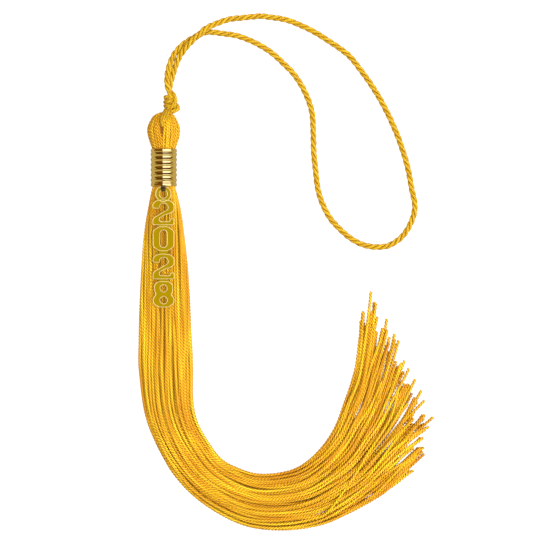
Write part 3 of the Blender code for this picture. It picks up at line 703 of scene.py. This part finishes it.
skirt = {
    # outer x and y, inner x and y, height, how round the section is, and the height of its underside
    "stations": (
        (-49.0, 48.2, -41.2, 48.2, 7.8, 1.00, 1.1),
        (-49.5, 45.7, -40.7, 45.7, 9.2, 1.00, 0.6),
        (-50.5, 41.3, -39.6, 41.3, 8.9, 0.90, 0.3),
        (-51.7, 35.3, -38.4, 35.3, 8.4, 0.77, 0.0),
        (-52.8, 26.5, -37.3, 26.5, 7.8, 0.57, 0.0),
        (-53.6, 15.4, -36.1, 15.4, 7.2, 0.33, 0.0),
        (-54.2, 4.3, -35.2, 4.3, 6.8, 0.08, 0.0),
        (-54.6, -10.5, -34.5, -10.5, 6.4, 0.00, 0.0),
        (-54.6, -21.6, -34.3, -21.6, 6.2, 0.00, 0.0),
        (-52.8, -36.4, -34.2, -33.5, 6.1, 0.00, 0.0),
        (-49.3, -47.0, -32.3, -41.6, 6.1, 0.00, 0.0),
        (-43.6, -57.9, -28.4, -48.3, 6.1, 0.00, 0.0),
        (-35.1, -67.9, -23.6, -54.6, 6.1, 0.00, 0.0),
        (-24.3, -75.5, -17.7, -57.9, 6.0, 0.00, 0.0),
        (-13.2, -80.1, -11.0, -60.0, 5.9, 0.00, 0.0),
        (-0.3, -81.2, -3.6, -59.8, 5.8, 0.00, 0.0),
        (12.7, -79.4, 4.9, -57.4, 5.5, 0.00, 0.0),
        (23.8, -74.9, 12.3, -51.2, 5.2, 0.00, 0.0),
        (33.4, -69.7, 17.9, -43.1, 4.8, 0.00, 0.0),
        (40.4, -64.9, 21.9, -32.7, 4.4, 0.00, 0.0),
        (46.7, -60.1, 24.9, -23.5, 4.0, 0.00, 0.0),
        (53.0, -56.8, 26.7, -11.3, 3.7, 0.00, 0.0),
        (59.3, -53.8, 27.8, 0.9, 3.4, 0.00, 0.0),
        (65.2, -50.9, 28.6, 12.4, 3.2, 0.00, 0.0),
    ),
    "shells": (27, 25, 20, 17, 15, 13),  # yarns in each layer, from the outside in
    "rings": (600, 520, 440, 400, 400, 400),  # rings along a yarn of each layer
    "jitter": 0.24,  # how far a yarn stands off its even place, in steps
    # each layer's range of tone: random within it, and lower for the layers underneath as painted shade from those
    # above
    "tones": ((0.35, 1.0), (0.15, 0.8), (0.1, 0.7), (0.1, 0.7), (0.1, 0.7), (0.1, 0.7)),
    "furrowShadeFade": ((0, 0.15), (110, 0.1), (220, 0.15)),  # how much the furrows' painted shade fades, at these lengths
    "toneChange": 0.22,  # how much a yarn's tone rises and falls along it
    "tonePace": 5.0,
    "tonePaceChange": (0.6, 1.6),
    "layChange": (0.93, 1.07),
    "shellStep": 0.8,  # how deep the next layer lies under the last
    "room": (0.6, 0.5),  # the radius for which a flat and a round section leave room
    "wrap": (18.0, 55.0),  # how far a layer reaches under the widest line, in degrees, for a flat and a round section
    "power": (2.5, 2.0),  # fullness of a flat and of a round section
    "waist": (0.22, 0.5),  # height of the widest line in a flat and in a round section
    "narrowest": 0.2,
    "sectionSteps": 361,
    # radius of a yarn at these lengths from the sleeve
    "radius": ((0, 0.43), (6, 0.48), (22, 0.56), (50, 0.63), (150, 0.63), (220, 0.64)),
    "margin": 0.9,  # how much of it stays inside the skirt's edges
    # how far a yarn wanders at these lengths
    "wander": ((0, 0.05), (12, 0.25), (50, 0.6), (150, 0.8), (200, 1.3), (218, 1.7)),
    "waves": ((0.75, 17.0), (0.2, 9.0)),  # size and pace of a yarn's own waves
    "waveChange": (0.7, 1.3),
    # waves shared with the neighbours: size, spread over the width, shift from layer to layer, pace and start
    "sharedWaves": ((0.4, 9.0, 1.7, 31.0, 0.0), (0.3, 23.0, 2.9, 17.0, 1.0)),
    "flick": (1.3, 22.0),  # how far the last stretch bends off, and how long it is
    "sink": 0.42,  # how far a yarn rises and sinks among the others
    "sinkPace": 13.0,
    "sinkFrom": 20.0,  # the length over which it begins
    "sinkAbove": 1.5,  # radii above the surface from which a yarn does so
    # how far the longest yarns reach, by their share of the way from the outer edge to the inner one
    "tips": (
        (0.01, 191.4), (0.04, 194.5), (0.06, 199.4), (0.09, 200.7), (0.13, 199.5), (0.17, 201.7), (0.21, 202.6),
        (0.22, 210.7), (0.26, 207.6), (0.28, 208.4), (0.31, 207.3), (0.35, 208.3), (0.36, 212.1), (0.39, 211.0),
        (0.41, 209.1), (0.44, 212.1), (0.46, 208.1), (0.48, 208.8), (0.52, 212.1), (0.54, 209.7), (0.56, 210.7),
        (0.59, 212.2), (0.62, 213.2), (0.65, 214.9), (0.67, 214.6), (0.71, 210.3), (0.76, 215.3), (0.79, 211.0),
        (0.82, 211.5), (0.85, 214.0), (0.89, 215.3), (0.91, 209.5), (0.96, 207.6), (1.00, 207.6),
    ),
    "tipInset": 1.0,  # how far the others stay inside the line of the tips
    "shortfall": (5.0, 18.0),  # how far they fall short of it, mostly and at most
    # where the innermost yarn stands off the others: length from the sleeve, half length and gap
    "partings": ((116.0, 7.0, 0.25), (163.0, 7.0, 0.45), (181.0, 10.0, 0.35), (193.0, 6.0, 0.7)),
    "edgeReach": 1.0,  # how far the innermost yarn may stand out
    "partingShare": 0.4,  # the innermost yarn's share of the gap
    "partingReach": (0.86, 0.94),  # shares of the width between which the others start to make room
    "seed": 7,
}

# the one yarn that strays over the others, and its way in x and y
stray = {
    "way": (
        (9.8, -77.0), (14.6, -75.0), (19.1, -69.7), (22.4, -65.1), (26.1, -59.6), (29.3, -54.2), (32.6, -49.2),
        (35.7, -44.6), (38.6, -39.6), (40.4, -34.6), (41.6, -29.0),
    ),
    "points": 160,
    "radius": 0.62,
    "toneAndShade": 0.85,
    "furrowShadeFade": 0.1,
    "near": 1.0,  # how near a yarn has to be to carry it
    "lift": 1.0,  # how far it lies above that yarn
    "evening": 8,  # points on both sides over which its height is evened out
    "sink": (1.6, 8.0),  # how far both its ends sink in, and over which length
}


def tableValue(table, at):
    # straight lines between the table's pairs
    pairs = np.array(table, float)
    return np.interp(at, pairs[:, 0], pairs[:, 1])


def stationReach():
    # distance from the sleeve along the middle of the skirt, 0 at the sleeve's lower edge
    rows = np.array(skirt["stations"])
    reach = lengthAlong((rows[:, :2] + rows[:, 2:4]) / 2)
    return reach - reach[1]


def skirtEnds(layer, share, luck):
    # the yarn of the layer nearest to each of its listed tips ends there; the others fall short of the tips' line
    tips = np.array(skirt["tips"])
    usual, most = skirt["shortfall"]
    shortfall = luck.exponential(usual, len(share)).clip(0, most)
    ends = np.interp(share, tips[:, 0], tips[:, 1]) - skirt["tipInset"] - shortfall
    free = np.ones(len(share), bool)
    for place, reach in tips[layer % 3 :: 3] if layer < 3 else []:
        nearest = np.argmin(np.where(free, np.abs(share - place), np.inf))
        ends[nearest] = reach
        free[nearest] = False
    return ends


def skirtSection(station, layer, spots):
    # outline of a layer = superellipse: across = -half width x cos^(2/power), up = waist + rise x sin^(2/power);
    # the yarns stand on it at these spots of its length
    outerX, outerY, innerX, innerY, height, roundness, under = station
    width = np.hypot(innerX - outerX, innerY - outerY)
    ease = [low + (high - low) * roundness for low, high in (skirt["wrap"], skirt["power"], skirt["waist"])]
    wrap, power, waist = np.radians(ease[0]), 2 / ease[1], ease[2]
    radius = skirt["room"][int(roundness >= 0.5)]
    depth = layer * min(skirt["shellStep"], (height - 2 * radius) / (len(skirt["shells"]) - 0.5))
    half = max(width / 2 - radius - depth, skirt["narrowest"])
    top = under + height - radius - depth
    low = min(under + radius + depth * roundness, top)
    middle = low + (top - low) * waist
    angle = np.linspace(-wrap, np.pi + wrap, skirt["sectionSteps"])
    cosine, sine = np.cos(angle), np.sin(angle)
    across = -half * np.sign(cosine) * np.abs(cosine) ** power
    rise = np.where(sine > 0, top - middle, (middle - low) / np.sin(wrap) ** power)
    up = middle + rise * np.sign(sine) * np.abs(sine) ** power
    along = lengthAlong(np.column_stack([across, up]))
    return np.interp(spots, along / along[-1], across) + width / 2, np.interp(spots, along / along[-1], up)


def layerPaths(layer, luck):
    # centre of a yarn = outer edge + its place across the width, at its height in the layer, moved sideways
    # by its own slow waves and by the waves that it shares with its neighbours
    stations = np.array(skirt["stations"])
    count, rings = skirt["shells"][layer], skirt["rings"][layer]
    number = np.arange(count)
    jitter = luck.uniform(-skirt["jitter"], skirt["jitter"], count) * (number % (count - 1) > 0)
    spots = (number + jitter) / (count - 1)
    sections = np.array([skirtSection(station, layer, spots) for station in stations])
    share = sections[-1, 0] / np.hypot(*(stations[-1, 2:4] - stations[-1, :2]))
    ends = skirtEnds(layer, share, luck)[:, None]
    start = stationReach()[0]
    reach = start + (ends - start) * np.linspace(0, 1, rings)
    at = np.interp(reach, stationReach(), np.arange(len(stations)))
    outline = smoothRows(stations[:, :4], at)
    outer, inner = outline[..., :2], outline[..., 2:]
    width = np.linalg.norm(inner - outer, axis=-1)
    across = (inner - outer) / width[..., None]
    placed = np.stack([smoothRows(sections[:, :, k], at[k]) for k in range(count)])
    place, z = placed[..., 0], placed[..., 1]
    radius = tableValue(skirt["radius"], reach)

    # to and fro
    own = luck.uniform(0, turn, (count, 3, 1))
    change = luck.uniform(*skirt["waveChange"], (count, 3, 1))
    waves = [
        size * np.sin(reach / (pace * change[:, k]) + own[:, k]) for k, (size, pace) in enumerate(skirt["waves"])
    ]
    waves += [
        size * np.sin(spread * share[:, None] + shift * layer + reach / pace + begin)
        for size, spread, shift, pace, begin in skirt["sharedWaves"]
    ]
    far, last = skirt["flick"]
    flick = luck.normal(0, far, (count, 1)) * np.clip((reach - (ends - last)) / last, 0, 1) ** 2
    edge = (spots[:, None] == 1.0) & (layer == 0)
    place = place + (tableValue(skirt["wander"], reach) * sum(waves) + flick) * ~edge
    low, high = skirt["partingReach"]
    for middle, half, gap in skirt["partings"]:
        bump = gap * np.exp(-(((reach - middle) / half) ** 2))
        room = np.clip((place / width - low) / (high - low), 0, 1)
        place = place + np.where(edge, skirt["partingShare"], -room) * bump
    margin = radius * skirt["margin"]
    place = np.clip(place, margin, np.where(edge, width + skirt["edgeReach"], width - margin))

    # up and down
    free = np.clip(reach / skirt["sinkFrom"], 0, 1) * (z > skirt["sinkAbove"] * radius)
    wave = np.sin(reach / (skirt["sinkPace"] * change[:, 2]) + own[:, 2])
    z = np.maximum(z + skirt["sink"] * (wave - 1.0) * free, radius)
    path = np.concatenate([outer + across * place[..., None], z[..., None]], axis=-1)
    return path, radius, tableValue(skirt["furrowShadeFade"], reach)


def ringValues(rows, corners):
    # one value per ring becomes one per vertex, and the two end points take their nearest ring's
    rows = np.concatenate([np.repeat(rows, corners, axis=1), rows[:, :1], rows[:, -1:]], axis=1)
    return np.clip(rows, 0, 1).ravel()


def facingTone(toneAndShade, spin, corners):
    # tone of a corner = its ring's tone x (base + rise x sine of the corner's angle), so that a yarn's flanks
    # and underside, which see little light, take the deep colour
    angles = np.arange(corners) * turn / corners + spin[..., None]
    facing = np.clip(yarn["facingBase"] + yarn["facingRise"] * np.sin(angles), 0, 1)
    rows = (toneAndShade[..., None] * facing).reshape(len(toneAndShade), -1)
    return np.clip(np.concatenate([rows, toneAndShade[:, :1], toneAndShade[:, -1:]], axis=1), 0, 1).ravel()


def makeYarns(name, paths, radii, spin, toneAndShade, furrowShadeFade, material):
    # three-ply tubes, each with its own twist and tone
    outline = np.array(yarn["outline"])
    values = {"toneAndShade": facingTone(toneAndShade, spin, len(outline)), "furrowShadeFade": ringValues(furrowShadeFade, len(outline))}
    parts = sweep(paths, radii, outline, spin)
    makePiece(name, parts, material, "tassel", "yarn_tassel", values)


def makeStray(material, paths):
    # height = the highest yarn near it + a yarn's thickness, evened out, less what both ends sink in
    path = evenPath(np.column_stack([stray["way"], np.zeros(len(stray["way"]))]), stray["points"])
    others = paths.reshape(-1, 3)[::2]
    apart = np.linalg.norm(path[:, None, :2] - others[None, :, :2], axis=-1)
    height = np.where(apart < stray["near"], others[None, :, 2], 0.0).max(axis=1) + stray["lift"]
    window = 2 * stray["evening"] + 1
    height = np.convolve(np.pad(height, stray["evening"], mode="edge"), np.ones(window) / window, "valid")
    along = lengthAlong(path)
    deep, length = stray["sink"]
    path[:, 2] = height - deep * np.clip(1 - np.minimum(along, along[-1] - along) / length, 0, 1) ** 2
    spin = along[None] * turn / yarn["lay"]
    radii, toneAndShade, furrowShadeFade = (np.full(spin.shape, stray[key]) for key in ("radius", "toneAndShade", "furrowShadeFade"))
    makeYarns("skirtYarnStray", path[None], radii, spin, toneAndShade, furrowShadeFade, material)


def makeSkirt(material):
    # a yarn's tone changes slowly along it: own tone + change x sin(length / pace + own start)
    luck = np.random.default_rng(skirt["seed"])
    for layer, count in enumerate(skirt["shells"]):
        paths, radii, furrowShadeFade = layerPaths(layer, luck)
        along = lengthAlong(paths)
        toneAndShade = luck.uniform(*skirt["tones"][layer], count)[:, None]
        lay = yarn["lay"] * luck.uniform(*skirt["layChange"], (count, 1))
        spin = (along / lay + luck.uniform(0, 1, (count, 1))) * turn
        pace = skirt["tonePace"] * luck.uniform(*skirt["tonePaceChange"], (count, 1))
        toneAndShade = toneAndShade + skirt["toneChange"] * np.sin(along / pace + luck.uniform(0, turn, (count, 1)))
        makeYarns(f"skirtYarn{layer + 1}", paths, radii, spin, toneAndShade, furrowShadeFade, material)
        if layer == 0:
            makeStray(material, paths)
    print(f"skirt: {sum(skirt['shells'])} three-ply yarns in {len(skirt['shells'])} layers and one astray")


head = {
    # y, middle x, half width, rise above and sink below the middle height of 5
    "sections": (
        (74.0, -44.3, 0.5, 0.4, 0.4), (73.7, -44.5, 1.4, 1.2, 1.2), (73.2, -44.7, 2.5, 2.2, 2.2),
        (72.6, -44.9, 3.5, 3.1, 3.1), (71.7, -45.05, 4.4, 3.9, 3.9), (69.9, -45.1, 5.4, 4.9, 4.8),
        (68.3, -45.15, 6.05, 5.3, 5.0), (66.6, -45.15, 6.2, 5.4, 5.0), (64.6, -45.1, 5.9, 5.3, 5.0),
        (62.7, -45.1, 5.3, 4.9, 4.9), (61.2, -45.1, 4.8, 4.6, 4.7), (60.3, -45.1, 4.35, 4.2, 4.2),
        (59.4, -45.1, 4.1, 4.1, 4.1),
    ),
    "middleHeight": 5.0,
    "leastHalf": 0.05,
    "yarns": 32,
    "rings": 90,
    "jitter": 0.06,  # how far a yarn stands off its even place, in steps
    "drift": (0.03, 3.0),  # angle by which it wanders about that place, and its pace
    "crowding": 0.62,  # a yarn's radius as a share of its part of the way round
    "radius": (0.12, 0.69),  # at least and at most
    "slit": (-45.75, 67.6, 1.6, 2.9),  # middle x and y, half width and half length
    "slitPush": 0.72,  # how far it pushes the yarns apart
    "slitSink": 0.25,
    "tones": (0.2, 0.75),
    "furrowShadeFade": 0.2,  # how much the furrows' painted shade fades where the yarn is drawn tight
    "coreDepth": 0.95,  # how far under the outline the inside lies, coloured dark as painted shade
    "coreSteps": (40, 32),  # along and round
    "coreStart": 0.6,
    # low tone on the inside: painted shade seen through the slit and between the yarns
    "coreTone": -0.5,
    "coreShade": 1 / 6,  # its place round a yarn, in the middle of a furrow, which gives it the furrow's painted shade
    "seed": 11,
}


def headPoints(azimuth, places, inset):
    # point = middle + (half width - inset) x cos azimuth sideways and (rise or sink - inset) x sin azimuth upwards
    rows = smoothRows(head["sections"], places)
    y, middle, half, rise, sink = np.moveaxis(rows, -1, 0)
    sine = np.sin(azimuth)
    depth = np.where(sine > 0, rise, sink)
    x = middle + np.maximum(half - inset, head["leastHalf"]) * np.cos(azimuth)
    z = head["middleHeight"] + np.maximum(depth - inset, head["leastHalf"]) * sine
    return np.stack([x, y, np.maximum(z, inset)], axis=-1), half, depth


def headCore():
    # rings of points a little under the yarns, closed at both ends on the middle of the last ring
    rings, around = head["coreSteps"]
    azimuth = (np.arange(around) * turn / around)[None, :]
    places = np.linspace(head["coreStart"], len(head["sections"]) - 1, rings)[:, None]
    grid, _, _ = headPoints(azimuth, np.broadcast_to(places, (rings, around)), head["coreDepth"])
    index = np.arange(rings * around).reshape(rings, around)
    after = np.roll(index, -1, axis=1)
    quads = np.stack([index[:-1], after[:-1], after[1:], index[1:]], axis=-1).reshape(-1, 4)
    start = np.stack([np.full(around, index.size), after[0], index[0]], axis=-1)
    end = np.stack([np.full(around, index.size + 1), index[-1], after[-1]], axis=-1)
    vertices = np.concatenate([grid.reshape(-1, 3), [grid[0].mean(axis=0), grid[-1].mean(axis=0)]])
    corners = 4 * len(quads) + 6 * around
    return vertices, (quads, np.concatenate([start, end])), np.full((corners, 2), head["coreShade"])


def makeHead(material):
    # each yarn runs from the knot over the bulge into the sleeve, at its own angle round the head;
    # near the slit it moves away by push x exp(-(x / half width)^2 - (y / half length)^2)
    luck = np.random.default_rng(head["seed"])
    count, rings = head["yarns"], head["rings"]
    azimuth = (np.arange(count) + luck.uniform(-head["jitter"], head["jitter"], count))[:, None] * turn / count
    places = np.broadcast_to(np.linspace(0, len(head["sections"]) - 1, rings), (count, rings))
    swing, pace = head["drift"]
    azimuth = azimuth + swing * np.sin(places / pace + luck.uniform(0, turn, (count, 1)))
    _, half, depth = headPoints(azimuth, places, 0.0)
    radius = np.clip(head["crowding"] * np.pi * (half + depth) / count, *head["radius"])
    paths, _, _ = headPoints(azimuth, places, radius)
    x0, y0, across, along = head["slit"]
    aside = paths[..., 0] - x0
    near = np.exp(-((aside / across) ** 2) - ((paths[..., 1] - y0) / along) ** 2)
    near *= paths[..., 2] > head["middleHeight"]
    paths[..., 0] += np.sign(aside) * head["slitPush"] * near
    paths[..., 2] -= head["slitSink"] * near
    spin = lengthAlong(paths) * turn / yarn["lay"] + luck.uniform(0, turn, (count, 1))
    outwards = np.stack([-np.sin(azimuth), 0 * azimuth, np.cos(azimuth)], axis=-1)
    outline = np.array(yarn["outline"])
    tubes = sweep(paths, radius, outline, spin, outwards)
    toneAndShade = facingTone(luck.uniform(*head["tones"], (count, 1)) + np.zeros((count, rings)), spin, len(outline))
    # the inside, coloured dark: painted shade under the yarns and in the slit
    core = headCore()
    inside = np.full(len(core[0]), 1.0)
    values = {
        "toneAndShade": np.concatenate([toneAndShade, head["coreTone"] * inside]),
        "furrowShadeFade": np.concatenate([np.full(len(toneAndShade), head["furrowShadeFade"]), 0 * inside]),
    }
    makePiece("headYarn", pileUp([tubes, core]), material, "tassel", "yarn_tassel", values)
    print(f"head: {count} yarns over the bulge")


# Sleeve

sleeve = {
    "x": -45.1,
    "z": 5.0,
    "top": 60.1,
    "length": 13.85,
    "bore": 4.5,
    "lip": 4.84,
    "lipWidth": (1.0, 1.25),  # how far from the edge the plain lip ends and the ribs start
    "rounding": 0.22,  # of the two edges
    "valley": 4.64,
    "crest": 4.95,
    "ribs": (2.05, 3.94, 5.83, 7.72, 9.61, 11.5),  # how far below the top each rib lies
    "ribWidth": 0.42,
    "stepsAlong": 221,
    "stepsAround": 160,
    "sharp": 50.0,  # edges sharper than this stay sharp, in degrees
}


def makeSleeve(material):
    # radius = valley + (crest - valley) x bell curve at each rib, between two plain lips with rounded edges
    d = np.linspace(0, sleeve["length"], sleeve["stepsAlong"])
    ribs = np.exp(-(((d[:, None] - np.array(sleeve["ribs"])) / sleeve["ribWidth"]) ** 2)).sum(axis=1)
    radius = sleeve["valley"] + (sleeve["crest"] - sleeve["valley"]) * np.clip(ribs, 0, 1)
    edge = np.minimum(d, sleeve["length"] - d)
    flat, far = sleeve["lipWidth"]
    lip = np.clip((far - edge) / (far - flat), 0, 1)
    radius = radius * (1 - lip) + sleeve["lip"] * lip
    radius -= sleeve["rounding"] * np.clip(1 - edge / sleeve["rounding"], 0, 1) ** 2
    profile = np.column_stack([np.append(radius, [sleeve["bore"]] * 2), np.append(d, [sleeve["length"], 0.0])])
    a = np.arange(sleeve["stepsAround"]) * turn / sleeve["stepsAround"]
    x = sleeve["x"] + profile[:, :1] * np.cos(a)
    z = sleeve["z"] + profile[:, :1] * np.sin(a)
    y = np.broadcast_to(sleeve["top"] - profile[:, 1:], x.shape)
    index = np.arange(x.size).reshape(x.shape)
    below, after = np.roll(index, -1, axis=0), np.roll(index, -1, axis=1)
    quads = np.stack([index, after, np.roll(below, -1, axis=1), below], axis=-1).reshape(-1, 4)
    vertices = np.stack([x, y, z], axis=-1).reshape(-1, 3)
    parts = (vertices, (quads, np.zeros((0, 3), int)), None)
    piece = makePiece("sleeveRibbed", parts, material, "tassel", "ferrule")
    piece.data.set_sharp_from_angle(angle=np.radians(sleeve["sharp"]))
    print(f"sleeve: two lips and {len(sleeve['ribs'])} ribs")


# Charm

charm = {
    "x": -45.1,
    "hinge": (45.5, 10.45),  # y and z of the hinge line
    "tilt": 3.7,
    "ring": (2.92, 1.4),  # outer radius and the hole's
    "back": -0.5,
    "bevel": 0.12,
    # how far in from the edge and how high each line of the rim lies, then the face
    "rim": ((0.0, -0.38), (0.0, 0.32), (0.04, 0.42), (0.12, 0.5), (0.21, 0.46), (0.28, 0.32), (0.33, 0.2)),
    # the rim colour's share on each line of the profile: polished plating, with its glints painted in as a pale
    # highlight
    "rimPolishAndHighlight": (0.35, 1.0, 1.0, 1.0, 1.0, 0.55, 0.0),
    "corner": 0.75,
    "cornerShare": 0.45,  # of a short edge, the most that a rounded corner takes
    "bridge": (1.75, -0.35, 0.12),  # half width, back and front of the bars between the numerals
    "bridgeLap": 0.5,  # how far they reach into each numeral
    "sharp": 40.0,  # edges sharper than this stay sharp, in degrees
    "two": (
        (-4.0, 0.0), (4.0, 0.0), (4.0, 2.45), (2.5, 2.45), (2.35, 1.4), (-1.4, 1.4), (-1.45, 2.65),
        (1.5, 4.1), (3.0, 4.4), (4.0, 5.4), (4.0, 7.9), (2.5, 9.15), (0.0, 9.5), (-2.6, 9.2), (-4.0, 7.9),
        (-4.0, 6.2), (-1.3, 6.05), (-1.35, 7.2), (-0.6, 8.0), (0.6, 8.05), (1.5, 7.4), (1.7, 5.95),
        (-0.6, 4.6), (-3.4, 2.95), (-4.0, 2.2),
    ),
    "nought": (
        (-1.6, 0.0), (1.6, 0.0), (3.95, 1.6), (3.95, 7.5), (1.6, 9.1), (-1.6, 9.1), (-3.95, 7.5), (-3.95, 1.6),
    ),
    "eight": (
        (-1.8, 0.0), (1.8, 0.0), (3.95, 1.5), (3.95, 3.4), (2.8, 4.75), (3.45, 5.9), (3.45, 8.4),
        (1.9, 9.7), (-1.9, 9.7), (-3.45, 8.4), (-3.45, 5.9), (-2.8, 4.75), (-3.95, 3.4), (-3.95, 1.5),
    ),
    # numeral, its counters as half width, bottom and top, and its foot's distance below the ring's middle
    "stack": (
        ("two", (), 11.5, 9.5),
        ("nought", ((1.28, 1.45, 7.65),), 21.05, 9.1),
        ("two", (), 31.45, 9.5),
        ("eight", ((1.25, 1.4, 3.95), (1.2, 5.8, 8.25)), 41.85, 9.7),
    ),
}


def roundCorners(polygon, cut, steps=6):
    # each corner becomes the curve that leaves one edge and joins the next, start and end a cut away from it
    points = np.array(polygon, float)
    before, after = np.roll(points, 1, axis=0) - points, np.roll(points, -1, axis=0) - points
    longBefore = np.linalg.norm(before, axis=1, keepdims=True)
    longAfter = np.linalg.norm(after, axis=1, keepdims=True)
    start = points + before / longBefore * np.minimum(cut, charm["cornerShare"] * longBefore)
    end = points + after / longAfter * np.minimum(cut, charm["cornerShare"] * longAfter)
    t = np.linspace(0, 1, steps)[None, :, None]
    curve = (1 - t) ** 2 * start[:, None] + 2 * t * (1 - t) * points[:, None] + t**2 * end[:, None]
    return curve.reshape(-1, 2)


def circle(radius, middle=(0.0, 0.0), steps=72):
    # radius x (cos, sin) round the middle
    a = np.arange(steps) * turn / steps
    return np.array(middle) + radius * np.column_stack([np.cos(a), np.sin(a)])


def slotOutline(half, low, high, steps=24):
    # half a circle round the upper end and half a circle round the lower one
    a = np.linspace(0, np.pi, steps)
    top = np.column_stack([half * np.cos(a), high - half + half * np.sin(a)])
    bottom = np.column_stack([-half * np.cos(a), low + half - half * np.sin(a)])
    if high - low - 2 * half < 0.01:  # a round hole: the two halves meet
        return np.vstack([top[:-1], bottom[:-1]])
    return np.vstack([top, bottom])


def insetLoop(loop, distance):
    # each point moves by distance along the mean of its two edges' inward normals, lengthened at corners
    edge = np.roll(loop, -1, axis=0) - loop
    edge /= np.linalg.norm(edge, axis=1, keepdims=True)
    normal = np.column_stack([-edge[:, 1], edge[:, 0]])
    mean = normal + np.roll(normal, 1, axis=0)
    mean /= np.linalg.norm(mean, axis=1, keepdims=True)
    stretch = 1 / np.clip(np.sum(mean * normal, axis=1, keepdims=True), 0.5, 1)
    return loop + mean * stretch * distance


def rimmedPlate(outer, holes):
    # the rim's profile is carried round the edge and round each hole; face and back are filled between them
    profile = ((charm["bevel"], charm["back"]), *charm["rim"])
    vertices, quads, glow, offset = [], [], [], 0
    for loop in [np.array(outer)] + [np.array(hole)[::-1] for hole in holes]:
        size = len(loop)
        vertices += [np.column_stack([insetLoop(loop, inset), np.full(size, z)]) for inset, z in profile]
        index = offset + np.arange(len(profile) * size).reshape(-1, size)
        after = np.roll(index, -1, axis=1)
        quads.append(np.stack([index[:-1], after[:-1], after[1:], index[1:]], axis=-1).reshape(-1, 4))
        glow.append(np.repeat((0.0,) + charm["rimPolishAndHighlight"], size))
        offset += len(profile) * size
    quads = np.concatenate(quads)
    plate = bpy.data.meshes.new("plate")
    plate.from_pydata(np.concatenate(vertices).tolist(), [], quads.tolist())
    mesh = bmesh.new()
    mesh.from_mesh(plate)
    open_ = [edge for edge in mesh.edges if edge.is_boundary]
    for front in (True, False):
        edges = [edge for edge in open_ if (edge.verts[0].co.z > 0) == front]
        bmesh.ops.triangle_fill(mesh, edges=edges, use_beauty=True)
    bmesh.ops.recalc_face_normals(mesh, faces=mesh.faces)
    mesh.to_mesh(plate)
    mesh.free()
    points, corners = np.empty(3 * len(plate.vertices), np.float32), np.empty(len(plate.loops), np.int32)
    plate.vertices.foreach_get("co", points)
    plate.loops.foreach_get("vertex_index", corners)
    bpy.data.meshes.remove(plate)
    quadCorners, fillCorners = np.split(corners, [quads.size])
    return (points.reshape(-1, 3), (quadCorners.reshape(-1, 4), fillCorners.reshape(-1, 3)), None), np.concatenate(glow)


def bridgePlate(y0, y1):
    # the bar between two numerals: a box from y0 to y1
    half, low, high = charm["bridge"]
    box = np.array([(x, y, z) for z in (low, high) for y in (y0, y1) for x in (-half, half)])
    sides = [[0, 2, 3, 1], [4, 5, 7, 6], [0, 1, 5, 4], [2, 6, 7, 3], [0, 4, 6, 2], [1, 3, 7, 5]]
    return (box, (np.array(sides), np.zeros((0, 3), int)), None), np.zeros(len(box))


def makeCharm(material):
    # ring and numerals hang one below another; the whole charm is tilted about the hinge line
    ringOuter, ringHole = charm["ring"]
    ringY = -(ringOuter + ringHole) / 2
    plates = [rimmedPlate(circle(ringOuter, (0, ringY)), [circle(ringHole, (0, ringY), 48)])]
    above = None
    for name, counters, foot, tall in charm["stack"]:
        shift = np.array([0.0, ringY - foot])
        outer = roundCorners(charm[name], charm["corner"]) + shift
        plates.append(rimmedPlate(outer, [slotOutline(*counter) + shift for counter in counters]))
        if above is not None:
            plates.append(bridgePlate(shift[1] + tall - charm["bridgeLap"], above + charm["bridgeLap"]))
        above = shift[1]
    parts, glow = zip(*plates)
    flat, faces, _ = pileUp(parts)
    tilt = np.radians(charm["tilt"])
    hingeY, hingeZ = charm["hinge"]
    placed = np.column_stack([
        charm["x"] + flat[:, 0],
        hingeY + flat[:, 1] * np.cos(tilt) - flat[:, 2] * np.sin(tilt),
        hingeZ + flat[:, 1] * np.sin(tilt) + flat[:, 2] * np.cos(tilt),
    ])
    # rim: where the pale, painted highlight of the polished rim goes
    values = {"rim": np.concatenate(glow)}
    piece = makePiece("numeralCharm", (placed, faces, None), material, "charm", "year_charm", values)
    piece.data.set_sharp_from_angle(angle=np.radians(charm["sharp"]))
    print("charm: ring and four rimmed numerals")


charmThread = {
    "hinge": (-45.1, 45.45, 10.45),
    "reach": (0.96, 1.2),  # half the arch's size along the tassel and upwards
    "outline": (1.0, 1.0, 0.86) * 3,  # radii round one strand
    "thickness": 0.17,
    "lay": 1.4,
    "places": (-0.66, -0.22, 0.22, 0.66),  # of the strands, across the ring
    "angles": (-8.0, 220.0),  # where the arch starts and ends, in degrees
    "points": 48,
}


def makeCharmThread(material):
    # arch over the hinge line: y = reach x cos, z = reach x sin, once for each strand
    x, y, z = charmThread["hinge"]
    flat, tall = charmThread["reach"]
    a = np.radians(np.linspace(*charmThread["angles"], charmThread["points"]))
    shift = np.array(charmThread["places"])[:, None]
    paths = np.stack([x + shift + 0 * a, y + 0 * shift + flat * np.cos(a), z + 0 * shift + tall * np.sin(a)], axis=-1)
    radii = np.full(paths.shape[:2], charmThread["thickness"])
    spin = lengthAlong(paths) * turn / charmThread["lay"]
    parts = sweep(paths, radii, np.array(charmThread["outline"]), spin, sideways)
    makePiece("charmTieThread", parts, material, "tassel", "charm_thread")
    print(f"thread: {len(charmThread['places'])} strands through the charm's ring")


makeCamera()
makeStudio()
filaments = makeFilaments()
plyShade = makePlyShade()
cordMaterial = makeYarnMaterial("golden cord", cordFinishAndShade, filaments, plyShade)
makeHangingLoop(cordMaterial)
makeKnot(cordMaterial)
makeHeadTie(cordMaterial)
makeSkirt(makeYarnMaterial("golden yarn", yarnFinishAndShade, filaments, plyShade))
makeHead(makeYarnMaterial("tight golden yarn", headFinishAndShade, filaments, plyShade))
makeSleeve(makeGoldMaterial())
makeCharm(makeCharmMaterial())
makeCharmThread(makeThreadMaterial(filaments))
